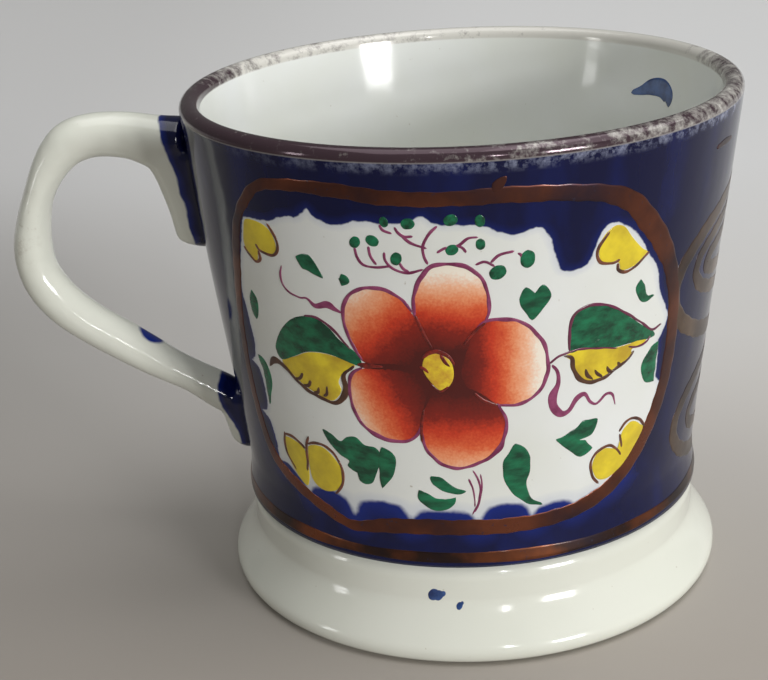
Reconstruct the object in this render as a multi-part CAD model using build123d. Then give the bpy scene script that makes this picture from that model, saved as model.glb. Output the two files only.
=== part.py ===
from build123d import *
import os

# Footed pottery mug with one loop handle: a thrown, flaring wall closed by a floor disc,
# standing on a hollow spreading foot. The handle is a rod of clay bent to a loop in the
# plane of X and Z, on the -X side, and each of its ends is luted to the wall with a
# pressed tail of clay below it. Millimetres, +Z up. The origin is on the mug's axis, at
# the plane that the foot ring stands on.

# Whole mug
height = 86.0            # standing plane to the top of the lip
rim_radius = 46.9        # outside of the lip
waist_radius = 39.5      # outside of the wall at its narrowest, just above the foot

# Wall and floor
wall_thickness = 3.3     # also the thickness of the rounded lip
waist_above_foot = 6.3   # height of the narrowest place above the foot joint
flare_power = 1.06       # 1 is a straight flare, more keeps the wall narrow for longer
bead_proud = 0.5         # shoulder at the bottom of the wall, beyond the waist
floor_thickness = 4.0
floor_cove = 3.0         # rise of the floor's edge where it turns up to the wall
floor_cove_width = 5.0

# Foot
foot_height = 16.2       # standing plane to the joint under the wall
foot_spread = 4.0        # how far the foot's roll reaches beyond the waist
foot_roll = 2.3          # radius of the roll at the bottom of the foot
foot_neck = 6.5          # straight stretch of the foot below the joint
standing_width = 2.8     # flat ring that the mug stands on
foot_wall = 5.0          # foot's thickness at the joint, wall and floor rest on it

# Handle
rod_thickness = 7.0      # in the plane of the loop
rod_width = 8.2          # across the loop
finger_gap = 28.2        # wall to the inside of the loop, at the loop's middle
upper_joint_drop = 9.2   # top of the lip to the rod's centre at the upper joint
lower_joint_rise = 12.4  # foot joint to the rod's centre at the lower joint
upper_crest = 3.4        # rise of the loop above its upper joint
end_bury = 2.0           # depth of each rod end inside the wall's face before it is cut
lower_end_drop = 0.8     # lower joint to the end of the rod's straight run inside the wall
crest_corners = ((12.2, 0.0), (4.0, -5.0))   # in from the loop's reach, up from its crest
arm_corners = ((-0.9, 31.4), (3.2, 20.4))    # in from the reach, up from the lower joint
corner_radii = (9.0, 12.0, 17.0, 13.0)       # bends of the centre line, top to bottom

# Tails of clay below the two joints
upper_tail_length = 21.0
upper_tail_proud = 5.2
lower_tail_length = 12.4
lower_tail_proud = 4.0
tail_width = 8.6
upper_tail_drop = 8.3    # upper joint to the middle of its tail
lower_tail_drop = 3.2    # lower joint to the middle of its tail

lip_height = height - wall_thickness / 2
waist_height = foot_height + waist_above_foot
floor_top = foot_height + floor_thickness
cove_top = floor_top + floor_cove
foot_radius = waist_radius + foot_spread
standing_radius = foot_radius - foot_roll
upper_joint = height - upper_joint_drop
lower_joint = foot_height + lower_joint_rise


def wall_radius(z):
    """Outside of the wall: narrowest at the waist, flaring evenly up to the lip."""
    share = max(0.0, (z - waist_height) / (lip_height - waist_height))
    return waist_radius + (rim_radius - waist_radius) * share**flare_power


floor_radius = wall_radius(cove_top) - wall_thickness


def flare_points(bottom, inset):
    """Six places on the wall from the given height up to the lip, moved in by the inset."""
    heights = [bottom + (lip_height - bottom) * index / 5 for index in range(6)]
    return [(wall_radius(z) - inset, z) for z in heights]


def turned(*edges):
    """Solid of revolution about the mug's axis, from a closed half outline."""
    return revolve(make_face([Plane.XZ * edge for edge in edges]), Axis.Z)


def outer_edges():
    """Outside of the wall, bottom to lip: the bead, then the flare."""
    bead_middle = (waist_radius + bead_proud, foot_height + bead_proud * 2)
    bead_top = (waist_radius, waist_height)
    bead = ThreePointArc((waist_radius, foot_height), bead_middle,
                         (waist_radius + bead_proud * 0.7, foot_height + bead_proud * 4))
    neck = Line(bead @ 1, bead_top)
    return [bead, neck, Spline(*flare_points(waist_height, 0))]


def make_cup_wall():
    """Open ring of the wall, with a round lip and a straight seat for the floor."""
    outside = outer_edges()
    lip = ThreePointArc(outside[-1] @ 1, (rim_radius - wall_thickness / 2, height),
                        (rim_radius - wall_thickness, lip_height))
    inside = Spline(*reversed(flare_points(cove_top, wall_thickness)))
    seat = Line((floor_radius, cove_top), (floor_radius, foot_height))
    base = Line((floor_radius, foot_height), (waist_radius, foot_height))
    return turned(*outside, lip, inside, seat, base)


def make_cup_floor():
    """Disc inside the wall's seat, its top turning up to meet the wall."""
    flat_radius = floor_radius - floor_cove_width
    return turned(
        Line((0, foot_height), (floor_radius, foot_height)),
        Line((floor_radius, foot_height), (floor_radius, cove_top)),
        RadiusArc((floor_radius, cove_top), (flat_radius, floor_top), floor_cove_width * 1.2),
        Line((flat_radius, floor_top), (0, floor_top)),
        Line((0, floor_top), (0, foot_height)),
    )


def make_foot():
    """Hollow foot: a short neck, a cove that spreads out, and a roll to stand on."""
    neck_bottom = foot_height - foot_neck
    inner_top = waist_radius - foot_wall
    inner_bottom = standing_radius - standing_width
    roll = JernArc((standing_radius, 0), (1, 0), foot_roll, 100)
    cove = Spline((waist_radius, neck_bottom), roll @ 1, tangents=[(0, -1), -(roll % 1)])
    return turned(
        Line((waist_radius, foot_height), (waist_radius, neck_bottom)),
        cove,
        roll,
        Line((standing_radius, 0), (inner_bottom, 0)),
        Line((inner_bottom, 0), (inner_top, foot_height)),
        Line((inner_top, foot_height), (waist_radius, foot_height)),
    )


def wall_core():
    """Everything inside the wall's outer face, to cut the handle's joints to fit."""
    top = outer_edges()[-1] @ 1
    return turned(
        *outer_edges(),
        Line(top, (0, lip_height)),
        Line((0, lip_height), (0, foot_height)),
        Line((0, foot_height), (waist_radius, foot_height)),
    )


def handle_path():
    """Centre line of the loop: straight runs joined by tangent arcs, both ends in the wall."""
    reach = wall_radius((upper_joint + lower_joint) / 2) + finger_gap + rod_thickness / 2
    crest = upper_joint + upper_crest
    corners = [(wall_radius(upper_joint) - end_bury, upper_joint)]
    corners += [(reach - inward, crest + up) for inward, up in crest_corners]
    corners += [(reach - inward, lower_joint + up) for inward, up in arm_corners]
    corners += [(wall_radius(lower_joint) - end_bury, lower_joint - lower_end_drop)]
    points = [(-radius, 0, z) for radius, z in corners]
    return FilletPolyline(*points, radius=corner_radii)


def make_rod():
    """Oval rod carried along the loop."""
    path = handle_path()
    start = Plane(origin=path @ 0, x_dir=(0, 1, 0), z_dir=path % 0)
    return sweep(start * Ellipse(rod_width / 2, rod_thickness / 2), path=path)


def make_tail(middle, length, proud):
    """Long drop of clay pressed on the wall, its middle at the given height."""
    foot_point = Vector(-wall_radius(middle), 0, middle)
    rise = length / 2
    lean = wall_radius(middle + rise) - wall_radius(middle - rise)
    along = Vector(-lean, 0, length).normalized()
    drop = scale(Sphere(1), by=(proud, tail_width / 2, rise))
    return Plane(origin=foot_point, x_dir=(along.Z, 0, -along.X), z_dir=along) * drop


def main():
    os.makedirs("parts", exist_ok=True)
    core = wall_core()
    rod = make_rod()
    wall_and_rod = core + rod
    upper_tail = make_tail(upper_joint - upper_tail_drop, upper_tail_length, upper_tail_proud)
    lower_tail = make_tail(lower_joint - lower_tail_drop, lower_tail_length, lower_tail_proud)
    export_step(make_cup_wall(), "parts/cup_wall.step")
    export_step(make_cup_floor(), "parts/cup_floor.step")
    export_step(make_foot(), "parts/foot.step")
    export_step(rod - core, "parts/handle.step")
    export_step(upper_tail - wall_and_rod, "parts/upper_handle_tail.step")
    export_step(lower_tail - wall_and_rod, "parts/lower_handle_tail.step")


main()
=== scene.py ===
"""Painted footed mug: glazed pottery, cobalt ground, enamel flower panels and copper lustre.

Lengths in this file are millimetres until a mesh is made, and metres in the meshes.
Paint is laid out on the unrolled wall: the first number of a point is millimetres round the
wall from the middle of its panel, the second is height above the standing plane, and the third,
on a brush stroke, is the stroke's width.
"""
import math
from types import SimpleNamespace

import bpy
import numpy as np
from mathutils import Matrix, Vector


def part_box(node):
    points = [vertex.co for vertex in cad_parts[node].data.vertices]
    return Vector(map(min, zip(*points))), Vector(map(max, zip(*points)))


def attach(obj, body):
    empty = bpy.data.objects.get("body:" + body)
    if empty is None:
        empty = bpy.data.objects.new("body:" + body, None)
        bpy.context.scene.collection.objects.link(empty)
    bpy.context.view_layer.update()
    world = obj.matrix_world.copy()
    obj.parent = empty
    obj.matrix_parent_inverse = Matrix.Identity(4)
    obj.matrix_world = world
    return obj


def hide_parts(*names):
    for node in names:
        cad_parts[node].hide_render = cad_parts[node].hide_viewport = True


bl_info = {
    "name": "Painted Footed Mug",
    "version": (1, 0, 0),
    "blender": (4, 5, 0),
    "location": "3D View > Sidebar > Mug",
    "description": "Builds a glazed mug with flower panels, cobalt ground and lustre bands",
    "category": "Add Mesh",
}

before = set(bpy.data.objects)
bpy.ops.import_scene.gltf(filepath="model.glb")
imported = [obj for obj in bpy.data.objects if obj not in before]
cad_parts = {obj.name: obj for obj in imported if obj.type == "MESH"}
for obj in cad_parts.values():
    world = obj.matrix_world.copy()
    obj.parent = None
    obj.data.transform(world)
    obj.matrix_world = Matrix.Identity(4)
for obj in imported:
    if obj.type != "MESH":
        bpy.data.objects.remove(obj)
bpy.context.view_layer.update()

MM = 0.001
BODY = "root"
WALL_LOW, WALL_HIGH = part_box("cup_wall")
FOOT_LOW, FOOT_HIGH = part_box("foot")
FLOOR_LOW, FLOOR_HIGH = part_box("cup_floor")

HEIGHT = WALL_HIGH[2] / MM            # standing plane to the top of the lip
RIM_RADIUS = WALL_HIGH[0] / MM        # outside of the lip
JOINT_HEIGHT = WALL_LOW[2] / MM       # wall's bottom edge, on the foot
FOOT_RADIUS = FOOT_HIGH[0] / MM       # outside of the foot's roll
FLOOR_RADIUS = FLOOR_HIGH[0] / MM     # floor disc, inside the wall
LAYOUT_RADIUS = 42.5                  # radius at which paint distances round the wall are true


# ---------------------------------------------------------------- settings

def length_setting(label, text, millimetres):
    """A length that the sidebar shows, kept in metres as lengths are in the scene."""
    return bpy.props.FloatProperty(name=label, description=text, default=millimetres * MM,
                                   min=0.0, subtype="DISTANCE", unit="LENGTH", precision=5)


def colour_setting(label, text, code):
    """A colour, given as an sRGB hex code and kept linear."""
    return bpy.props.FloatVectorProperty(
        name=label, description=text, subtype="COLOR", size=4,
        min=0.0, max=1.0, default=linear(code))


def linear(code):
    """Linear RGBA of an sRGB hex code, by the standard piecewise curve."""
    channels = [int(code[place:place + 2], 16) / 255 for place in (1, 3, 5)]
    return tuple(c / 12.92 if c <= 0.04045 else ((c + 0.055) / 1.055) ** 2.4
                 for c in channels) + (1.0,)


class MugForm(bpy.types.PropertyGroup):
    """Sizes of the pot that a user would change."""
    wall: length_setting("Wall", "Thickness of the wall and its rounded lip", 3.3)
    swell: length_setting("Swell", "Extra thickness of the wall half way up, on the inside", 0.8)
    waist: length_setting("Waist radius", "Outside of the wall at its narrowest", 39.5)
    waist_height: length_setting("Waist height", "Height of the narrowest place", 22.5)
    bead: length_setting("Bead", "How far the shoulder at the wall's bottom stands out", 0.5)
    lean: length_setting("Lip spread", "How far the lip is pulled out on the side away "
                         "from the handle", 0.45)
    floor: length_setting("Floor", "Thickness of the bowl's floor", 4.0)
    cove: length_setting("Cove", "Width of the curve between floor and wall", 5.0)
    foot_roll: length_setting("Foot roll", "Radius of the roll that the mug stands on", 2.3)
    foot_wall: length_setting("Foot wall", "Thickness of the hollow foot at its joint", 5.0)
    paint: length_setting("Enamel", "Height of a brush stroke of enamel above the glaze", 0.07)


def form_in_mm(scene):
    """The form settings as plain numbers of millimetres."""
    group = scene.mug_form
    return SimpleNamespace(**{name: getattr(group, name) / MM for name in group.__annotations__})


class MugFinish(bpy.types.PropertyGroup):
    """Colours of the glaze and paints."""
    white: colour_setting("Glazed body", "Greenish cream of the lead glaze", "#dfe0d6")
    panel: colour_setting("Panel white", "Glaze of the panels, bluer than the body's",
                          "#e6e8ea")
    cobalt: colour_setting("Cobalt", "Underglaze cobalt where it lies thick", "#080d34")
    cobalt_thin: colour_setting("Thin cobalt", "Cobalt where the brush left it thin", "#10277c")
    copper: colour_setting("Copper lustre", "Film of copper on the cobalt", "#5c352a")
    pink: colour_setting("Pink lustre", "Film of gold and tin on the lip", "#4a3a41")
    maroon: colour_setting("Flower heart", "Thick iron red at the heart", "#4c1310")
    orange: colour_setting("Petal red", "Iron red in the middle of a petal", "#c2381d")
    peach: colour_setting("Petal edge", "Thinned iron red near a petal's edge", "#eeb794")
    green: colour_setting("Leaf green", "Copper green enamel", "#13724c")
    yellow: colour_setting("Bud yellow", "Antimony yellow enamel", "#e6cf2e")
    purple: colour_setting("Line purple", "Manganese and gold purple of the lines", "#6c2148")
    brown: colour_setting("Line brown", "Manganese brown of the bud lines", "#3f231c")


# ---------------------------------------------------------------- shape of the pot

def smooth_step(low, high, value):
    """0 below low, 1 above high, and the cubic 3t^2 - 2t^3 between them."""
    t = np.clip((np.asarray(value, float) - low) / (high - low), 0.0, 1.0)
    return t * t * (3 - 2 * t)


def wall_radius(form, z):
    """Outside of the wall: waist plus a flare that grows as the 1.06th power of the rise,
    plus the bead, a half cosine that stands out below the waist."""
    lip_height = HEIGHT - form.wall / 2
    share = np.clip((z - form.waist_height) / (lip_height - form.waist_height), 0.0, 1.0)
    below = np.clip((form.waist_height - z) / (form.waist_height - JOINT_HEIGHT - 0.8), 0.0, 1.0)
    return form.waist + (RIM_RADIUS - form.waist) * share ** 1.06 + form.bead * below ** 2


def hand_error(azimuth, z):
    """Small unevenness left by throwing: two slow waves round the wall and one up it,
    always inwards, so that the pot stays inside its true size."""
    waves = np.sin(2 * azimuth + 0.7) + 0.6 * np.sin(3 * azimuth + z / 23) + np.sin(z / 9 + azimuth)
    return 0.045 * (waves - 2.6)


def lip_lean(form, azimuth, z):
    """The lip is pulled outwards away from the handle: a cosine round the wall that
    grows from nothing at mid height."""
    return form.lean * smooth_step(55, HEIGHT, z) * (np.cos(azimuth) - 1)


def outer_point(form, azimuth, z, lift):
    """Place on the outside of the wall, raised by lift along the radius. Returns x, y, z."""
    radius = (wall_radius(form, z) + hand_error(azimuth, z)
              + lip_lean(form, azimuth, z) + lift)
    return np.stack([radius * np.cos(azimuth), radius * np.sin(azimuth),
                     np.broadcast_to(z, radius.shape)], -1)


def wall_depth(form, z):
    """Thickness of the wall: the lip's own at the top and at the floor, and thicker by the
    swell between them, in two cubic steps."""
    return form.wall + form.swell * (smooth_step(24, 60, z)
                                     - smooth_step(71, HEIGHT - form.wall / 2, z))


def foot_profile(form):
    """Half outline of the foot, as radius and height, from the joint down the outside, round
    the roll and up the hollow inside. The cove is a cubic between the neck and the roll."""
    neck_bottom = JOINT_HEIGHT - 6.0
    standing = FOOT_RADIUS - form.foot_roll
    t = np.linspace(0, 1, 22)[:, None]
    roll_angle = math.radians(28)
    roll_top = np.array([standing + form.foot_roll * math.cos(roll_angle),
                         form.foot_roll + form.foot_roll * math.sin(roll_angle)])
    neck = np.array([form.waist - 0.1, neck_bottom])
    down = np.array([0, -1.0]) * 5.6
    out = np.array([math.sin(roll_angle), -math.cos(roll_angle)]) * 5.0
    cove = ((2 * t**3 - 3 * t**2 + 1) * neck + (t**3 - 2 * t**2 + t) * down
            + (3 * t**2 - 2 * t**3) * roll_top + (t**3 - t**2) * out)
    turn = np.linspace(roll_angle, -math.pi / 2, 16)[1:, None]
    roll = np.array([standing, form.foot_roll]) + form.foot_roll * np.hstack(
        [np.cos(turn), np.sin(turn)])
    straight = np.array([[form.waist, JOINT_HEIGHT], [form.waist - 0.05, JOINT_HEIGHT - 3]])
    ring = np.array([[standing - 0.5, 0], [standing - 2.4, 0], [standing - 2.9, 0.5]])
    rise = np.linspace(0, 1, 12)[1:, None]
    inside = ring[-1] + (np.array([form.waist - form.foot_wall, JOINT_HEIGHT]) - ring[-1]) * rise
    return np.vstack([straight, cove, roll, ring, inside])


def foot_point(form, azimuth, z, lift):
    """Place on the outside of the foot, raised by lift along the radius."""
    outline = foot_profile(form)[:36]
    radius = np.interp(-z, -outline[:, 1], outline[:, 0]) + lift
    return np.stack([radius * np.cos(azimuth), radius * np.sin(azimuth), z], -1)


# ---------------------------------------------------------------- mesh from grids

def shell(points, ring=False, **data):
    """One closed surface: rows of points, each row closed on itself. Without ring the first
    and last rows are drawn together to a pole, with ring the last row meets the first."""
    return {"points": np.asarray(points, float), "ring": ring, "data": data}


def shell_faces(rows, columns, ring):
    """Quads between neighbouring rows, wrapping round the columns, as index arrays."""
    row = np.arange(rows if ring else rows - 1)[:, None]
    column = np.arange(columns)[None, :]
    beyond, beside = (row + 1) % rows, (column + 1) % columns
    return np.stack([row * columns + column, row * columns + beside,
                     beyond * columns + beside, beyond * columns + column], -1).reshape(-1, 4)


def pole_faces(rows, columns):
    """Triangles from each pole to the row beside it."""
    column = np.arange(columns)
    beside = (column + 1) % columns
    first, last = rows * columns, rows * columns + 1
    top = np.stack([beside, column, np.full(columns, first)], -1)
    end = (rows - 1) * columns
    bottom = np.stack([end + column, end + beside, np.full(columns, last)], -1)
    return np.vstack([top, bottom])


def turned_out(vertices, faces):
    """The faces, turned over if they enclose a negative volume, which is the sum of the
    triple products of their first three corners and the rest."""
    volume = 0.0
    centre = vertices.mean(0)
    for one in faces:
        corners = vertices[one] - centre
        for k in range(1, one.shape[1] - 1):
            volume += np.einsum("ij,ij->", corners[:, 0],
                                np.cross(corners[:, k], corners[:, k + 1]))
    return faces if volume >= 0 else [one[:, ::-1] for one in faces]


def build(name, shells, material, replaces=()):
    """Joins closed shells into one object that rides on the mug."""
    all_vertices, all_faces, offset = [], [], 0
    values = {key: [] for part in shells for key in part["data"]}
    for part in shells:
        grid = part["points"]
        rows, columns = grid.shape[:2]
        vertices = grid.reshape(-1, 3)
        faces = [shell_faces(rows, columns, part["ring"])]
        data = {key: np.broadcast_to(value, (rows, columns)).reshape(-1)
                for key, value in part["data"].items()}
        if not part["ring"]:
            vertices = np.vstack([vertices, grid[0].mean(0), grid[-1].mean(0)])
            faces.append(pole_faces(rows, columns))
            data = {key: np.concatenate([value, [value[:columns].mean(), value[-columns:].mean()]])
                    for key, value in data.items()}
        all_faces += [one + offset for one in turned_out(vertices, faces)]
        all_vertices.append(vertices * MM)
        for key in values:
            values[key].append(data.get(key, np.zeros(len(vertices))))
        offset += len(vertices)
    mesh = bpy.data.meshes.new(name)
    mesh.from_pydata(np.vstack(all_vertices).tolist(), [],
                     [face for one in all_faces for face in one.tolist()])
    mesh.polygons.foreach_set("use_smooth", np.ones(len(mesh.polygons), bool))
    for key, parts in values.items():
        layer = mesh.attributes.new(key, "FLOAT", "POINT")
        layer.data.foreach_set("value", np.concatenate(parts).astype(np.float32))
    mesh.validate()
    mesh.update()
    mesh.materials.append(material)
    piece = bpy.data.objects.new(name, mesh)
    bpy.context.scene.collection.objects.link(piece)
    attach(piece, BODY)
    if replaces:
        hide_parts(*replaces)
    return piece


# ---------------------------------------------------------------- brush work

def smooth_curve(points, closed=False, steps=8):
    """Curve through given points. Each span is the cubic whose slope at a point is half
    the step between that point's two neighbours."""
    p = np.asarray(points, float)
    if closed:
        before, start, after, beyond = np.roll(p, 1, 0), p, np.roll(p, -1, 0), np.roll(p, -2, 0)
    else:
        padded = np.vstack([2 * p[0] - p[1], p, 2 * p[-1] - p[-2]])
        before, start, after, beyond = padded[:-3], padded[1:-2], padded[2:-1], padded[3:]
    t = (np.arange(steps) / steps)[None, :, None]
    before, start, after, beyond = (one[:, None, :] for one in (before, start, after, beyond))
    curve = 0.5 * (2 * start + (after - before) * t
                   + (2 * before - 5 * start + 4 * after - beyond) * t**2
                   + (3 * start - before - 3 * after + beyond) * t**3)
    curve = curve.reshape(-1, p.shape[1])
    return curve if closed else np.vstack([curve, p[-1]])


def along(path, closed):
    """Distance along a path, and its unit sideways direction, from central differences."""
    if closed:
        step = np.roll(path, -1, 0) - np.roll(path, 1, 0)
    else:
        step = np.gradient(path, axis=0)
    hops = np.hypot(*np.diff(path, axis=0).T)
    travelled = np.concatenate([[0], np.cumsum(hops)])
    length = np.maximum(np.hypot(step[:, 0], step[:, 1]), 1e-9)
    sideways = np.stack([-step[:, 1], step[:, 0]], -1) / length[:, None]
    return travelled, sideways


class Surface:
    """Where paint goes: a wall function and the direction that its layout is centred on."""

    def __init__(self, form, degrees, point=outer_point):
        self.form, self.azimuth, self.point = form, math.radians(degrees), point

    def place(self, across, z, lift):
        """Layout millimetres to x, y and z, wrapped round the pot's axis."""
        return self.point(self.form, self.azimuth + across / LAYOUT_RADIUS, z, lift)


SINK = 0.03          # depth of every stroke's underside in the glaze
RIBBON = np.array([-1, -0.94, -0.75, -0.4, 0, 0.4, 0.75, 0.94, 1])


def stroke(surface, points, rise, closed=False, steps=8, shake=0.0):
    """Brush stroke. The path carries a lens: across it the paint stands as the fourth root of
    1 - x^2, and at an open end the width closes as a round brush leaves it."""
    curve = smooth_curve(points, closed, steps)
    path, width = curve[:, :2], np.maximum(curve[:, 2], 0.05)
    travelled, sideways = along(path, closed)
    if not closed:
        end = np.minimum(travelled, travelled[-1] - travelled)
        width = width * np.sqrt(np.clip(end / (0.6 * width), 0.02, 1.0))
    wander = shake * (np.sin(travelled * 0.9 + path[0, 0]) + np.sin(travelled * 2.3 + path[0, 1]))
    left = width / 2 + wander
    right = width / 2 - shake * np.sin(travelled * 1.6 + 2)
    reach = np.where(RIBBON[None, :] < 0, left[:, None], right[:, None]) * RIBBON[None, :]
    top = rise * np.sqrt(np.sqrt(np.clip(1 - RIBBON**2, 0, 1))) - SINK * (np.abs(RIBBON) == 1)
    under = slice(-3, 0, -2)
    reach = np.hstack([reach, reach[:, under]])
    lift = np.concatenate([top, np.full(len(RIBBON[under]), -SINK)])
    across = path[:, None, 0] + sideways[:, None, 0] * reach
    z = path[:, None, 1] + sideways[:, None, 1] * reach
    return shell(surface.place(across, z, np.broadcast_to(lift, across.shape)), ring=closed)


def patch(surface, outline, rise, steps=6, axis=None):
    """Filled patch of paint. Rings shrink from the outline to the centre, and the paint stands
    flat with a rounded edge: rise times the square root of 1 - t^8, t from centre to edge."""
    edge = smooth_curve(outline, closed=True, steps=steps)
    centre = edge.mean(0)
    t = np.array([0.04, 0.16, 0.3, 0.44, 0.58, 0.7, 0.8, 0.88, 0.94, 0.98, 1.0])
    lift = rise * np.sqrt(1 - t**8)
    lift[-1] = -SINK
    t, lift = np.concatenate([t, [0.8, 0.4, 0.04]]), np.concatenate([lift, [-SINK] * 3])
    ring = centre + t[:, None, None] * (edge - centre)[None, :, :]
    data = {}
    if axis is not None:
        heart, towards = np.asarray(axis[0], float), np.asarray(axis[1], float)
        data["fade"] = (ring - heart) @ towards
    points = surface.place(ring[..., 0], ring[..., 1],
                           np.broadcast_to(lift[:, None], ring.shape[:2]))
    return shell(points, **data)


def dot(surface, across, z, size, rise):
    """Round touch of the brush, slightly drawn down."""
    angle = np.linspace(0, 2 * np.pi, 8, endpoint=False)
    wave = 1 + 0.12 * np.sin(2 * angle + across)
    outline = np.stack([across + size * wave * np.cos(angle),
                        z + 1.08 * size * wave * np.sin(angle)], -1)
    return patch(surface, outline, rise, steps=3)


def distance_to_outline(places, outline):
    """Signed distance from each place to a closed outline, positive inside: the least distance
    to its edges, with the sign from how many edges a level line to the right crosses."""
    start, end = outline, np.roll(outline, -1, 0)
    edge = end - start
    best = np.full(len(places), np.inf)
    crossings = np.zeros(len(places), int)
    for a, b, e in zip(start, end, edge):
        t = np.clip(((places - a) @ e) / max(e @ e, 1e-12), 0, 1)
        gap = places - a - t[:, None] * e
        best = np.minimum(best, np.einsum("ij,ij->i", gap, gap))
        between = (a[1] > places[:, 1]) != (b[1] > places[:, 1])
        if e[1] != 0:
            crossings += between & (places[:, 0] < a[0] + e[0] * (places[:, 1] - a[1]) / e[1])
    return np.sqrt(best) * np.where(crossings % 2 == 1, 1, -1)


# ---------------------------------------------------------------- painted layout, panel by panel

# Edge of the white panel in the cobalt: runs of a curve that meet in the small cusps where the
# brush was lifted.
PANEL_TOP = [(-34, 70), (-33, 72.8), (-30, 73), (-27, 73.3), (-24.5, 74.5), (-22, 74.7),
             (-20.8, 75.6), (-19.8, 76.3)]
PANEL_TOP_RIGHT = [(-19.8, 76.3), (-18.5, 75), (-16.5, 74.3), (-14, 74.5), (-12, 75.2), (-8, 74.9),
                   (-5, 75.2), (-3.5, 76), (-2.5, 75.9), (-1, 74.9), (4.5, 74.5), (7, 73.4),
                   (9.5, 72.7), (12.7, 73.6), (14, 72.3), (14.8, 70.2), (15.8, 66.7), (17.3, 65.9),
                   (18.8, 65.9), (20.5, 67), (22, 71), (23.3, 72.1), (25, 72), (28, 70), (31, 65.8),
                   (33, 63), (34.5, 58.5), (36.8, 54.5), (36.8, 52.5), (35.4, 50)]
PANEL_RIGHT = [(35.4, 50), (35.7, 46.5), (35.8, 43.5), (36.9, 42), (36.9, 40.5), (36, 37),
               (33.7, 33), (30.5, 29), (27, 27), (24.5, 26.6), (20, 25)]
# Round touches of cobalt along the bottom and left edge: start, peak and end of each.
PANEL_TOUCHES = [
    [(20, 25), (18.4, 26.1), (16, 26.3), (13.6, 25.7), (12.5, 24.2)],
    [(12.4, 24.2), (10.9, 26.6), (8, 27.2), (5, 26.6), (3.5, 24.3)],
    [(3.2, 24.2), (1, 26), (-3, 26.3), (-6.5, 26), (-8, 24.5)],
    [(-8.4, 24.4), (-10, 26.7), (-13.5, 27.2), (-17, 26.5), (-18.7, 23.8)],
    [(-19, 23.8), (-20.4, 26.5), (-24, 27.3), (-27.4, 26.6), (-28.5, 25.5), (-30, 27),
     (-33, 29.3), (-35.8, 29.2)],
    [(-35.8, 29.2), (-35.7, 33), (-36.6, 36.4), (-38.8, 37.5)],
    [(-38.8, 37.5), (-36.5, 38.8), (-36, 42), (-36.6, 45.8), (-38.8, 47)],
    [(-38.8, 47), (-36.8, 48.4), (-36.4, 52), (-36.8, 56.5), (-37, 60), (-35.5, 66), (-34, 70)],
]
PANEL_RUNS = [PANEL_TOP, PANEL_TOP_RIGHT, PANEL_RIGHT] + PANEL_TOUCHES

# Lustre frame that runs round each panel, with the width of the brush.
FRAME_PATH = [(-24, 79.6, 1.9), (-16, 79.7, 2.3), (-8, 78.9, 2.4), (0, 78.7, 2.3), (8, 78.9, 2.6),
              (16, 78.3, 2.6), (22, 77.2, 2.8), (26.5, 75.2, 3.2), (30, 71.5, 3.6),
              (33.3, 67.3, 3.6), (36, 62.8, 3.2), (38, 57.5, 3.0), (38.9, 51, 3.1),
              (38.8, 45, 3.2), (37.8, 40, 3.2), (35.6, 35.2, 3.2), (32.2, 30.6, 3.2),
              (28, 27, 3.0), (23, 24.7, 2.9), (17, 23.5, 2.8), (9, 23.1, 2.8), (0, 23.2, 2.9),
              (-8, 23.1, 2.9), (-14, 22.5, 2.6), (-19.3, 21.6, 1.8), (-24, 22.9, 2.2),
              (-29, 24.8, 2.4), (-34, 27, 2.6), (-38, 30, 2.6), (-40, 35, 2.3), (-40.8, 42, 2.0),
              (-40.4, 49, 1.9), (-39.2, 56, 1.9), (-37.7, 62, 2.2), (-36.5, 67, 2.3),
              (-35, 71.5, 1.9), (-32, 75.7, 1.9), (-28.5, 78.6, 1.8)]
LUSTRE_TOUCHES = [[(6.6, 79.5, 2.0), (7.3, 80.6, 1.6), (8.3, 81.7, 0.7)],
                  [(45.5, 78.6, 0.7), (48.8, 78.8, 1.1), (52, 78.6, 0.7)]]
# Ovals on the side away from the handle: half width, middle height, half height, brush width.
OVALS = [(30.7, 57, 12.8, 3.0), (24.6, 59, 7.2, 2.4), (20.5, 59, 3.4, 2.6),
         (25.0, 31, 9.6, 2.8), (18.5, 31, 4.6, 2.4)]

FLOWER_HEART = (-2.0, 51.3)
# Petals: the way each one points from the heart, as a vector whose length says how soon its
# red thins, and its outline.
PETALS = [
    ((0.12, 1.06), [(-2, 52), (-5.1, 60.3), (-4.9, 63.5), (-3.7, 66.5), (-2.2, 68.2), (0, 68.6),
                   (2.4, 68.2), (4.3, 66.6), (5.4, 64), (5.6, 61), (5.0, 59), (2.8, 56.5)]),
    ((1.14, 0.0), [(0.6, 51), (2.2, 56), (5.2, 59.2), (7.5, 59.3), (9.8, 58.8), (12, 57),
                  (13.6, 54.6), (14.2, 52), (14.3, 49.5), (13.3, 47), (11.5, 45.4), (9.3, 44.8),
                  (6.7, 45.1), (4.3, 46.2), (1.6, 47.8)]),
    ((-0.04, -0.88), [(-3.5, 48), (-5.5, 41.5), (-4.9, 38), (-3.5, 36), (-1.7, 34.7), (0.3, 34.2),
                     (2.6, 34.7), (5, 35.8), (6.8, 37.3), (7.6, 39.4), (8, 41.7), (7.4, 43.7),
                     (6.6, 45.2), (3, 49)]),
    ((-0.88, -0.42), [(-3, 50), (-8.6, 51.6), (-13.8, 51), (-15.5, 50), (-16.4, 47.6), (-16.4, 45),
                     (-15.7, 42.4), (-14.2, 40.3), (-12.4, 39.2), (-10.5, 38.8), (-8.3, 38.8),
                     (-6.5, 39.3), (-5.2, 41), (-4.4, 44.5)]),
    ((-0.62, 0.72), [(-3, 52), (-9, 51.8), (-13.5, 52), (-15, 55), (-15.7, 57.5), (-15.9, 60),
                   (-15, 62.5), (-13.2, 64), (-11, 64.6), (-8.6, 64.2), (-6.6, 62.8),
                   (-5.1, 60.5), (-4.5, 59)]),
]
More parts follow.
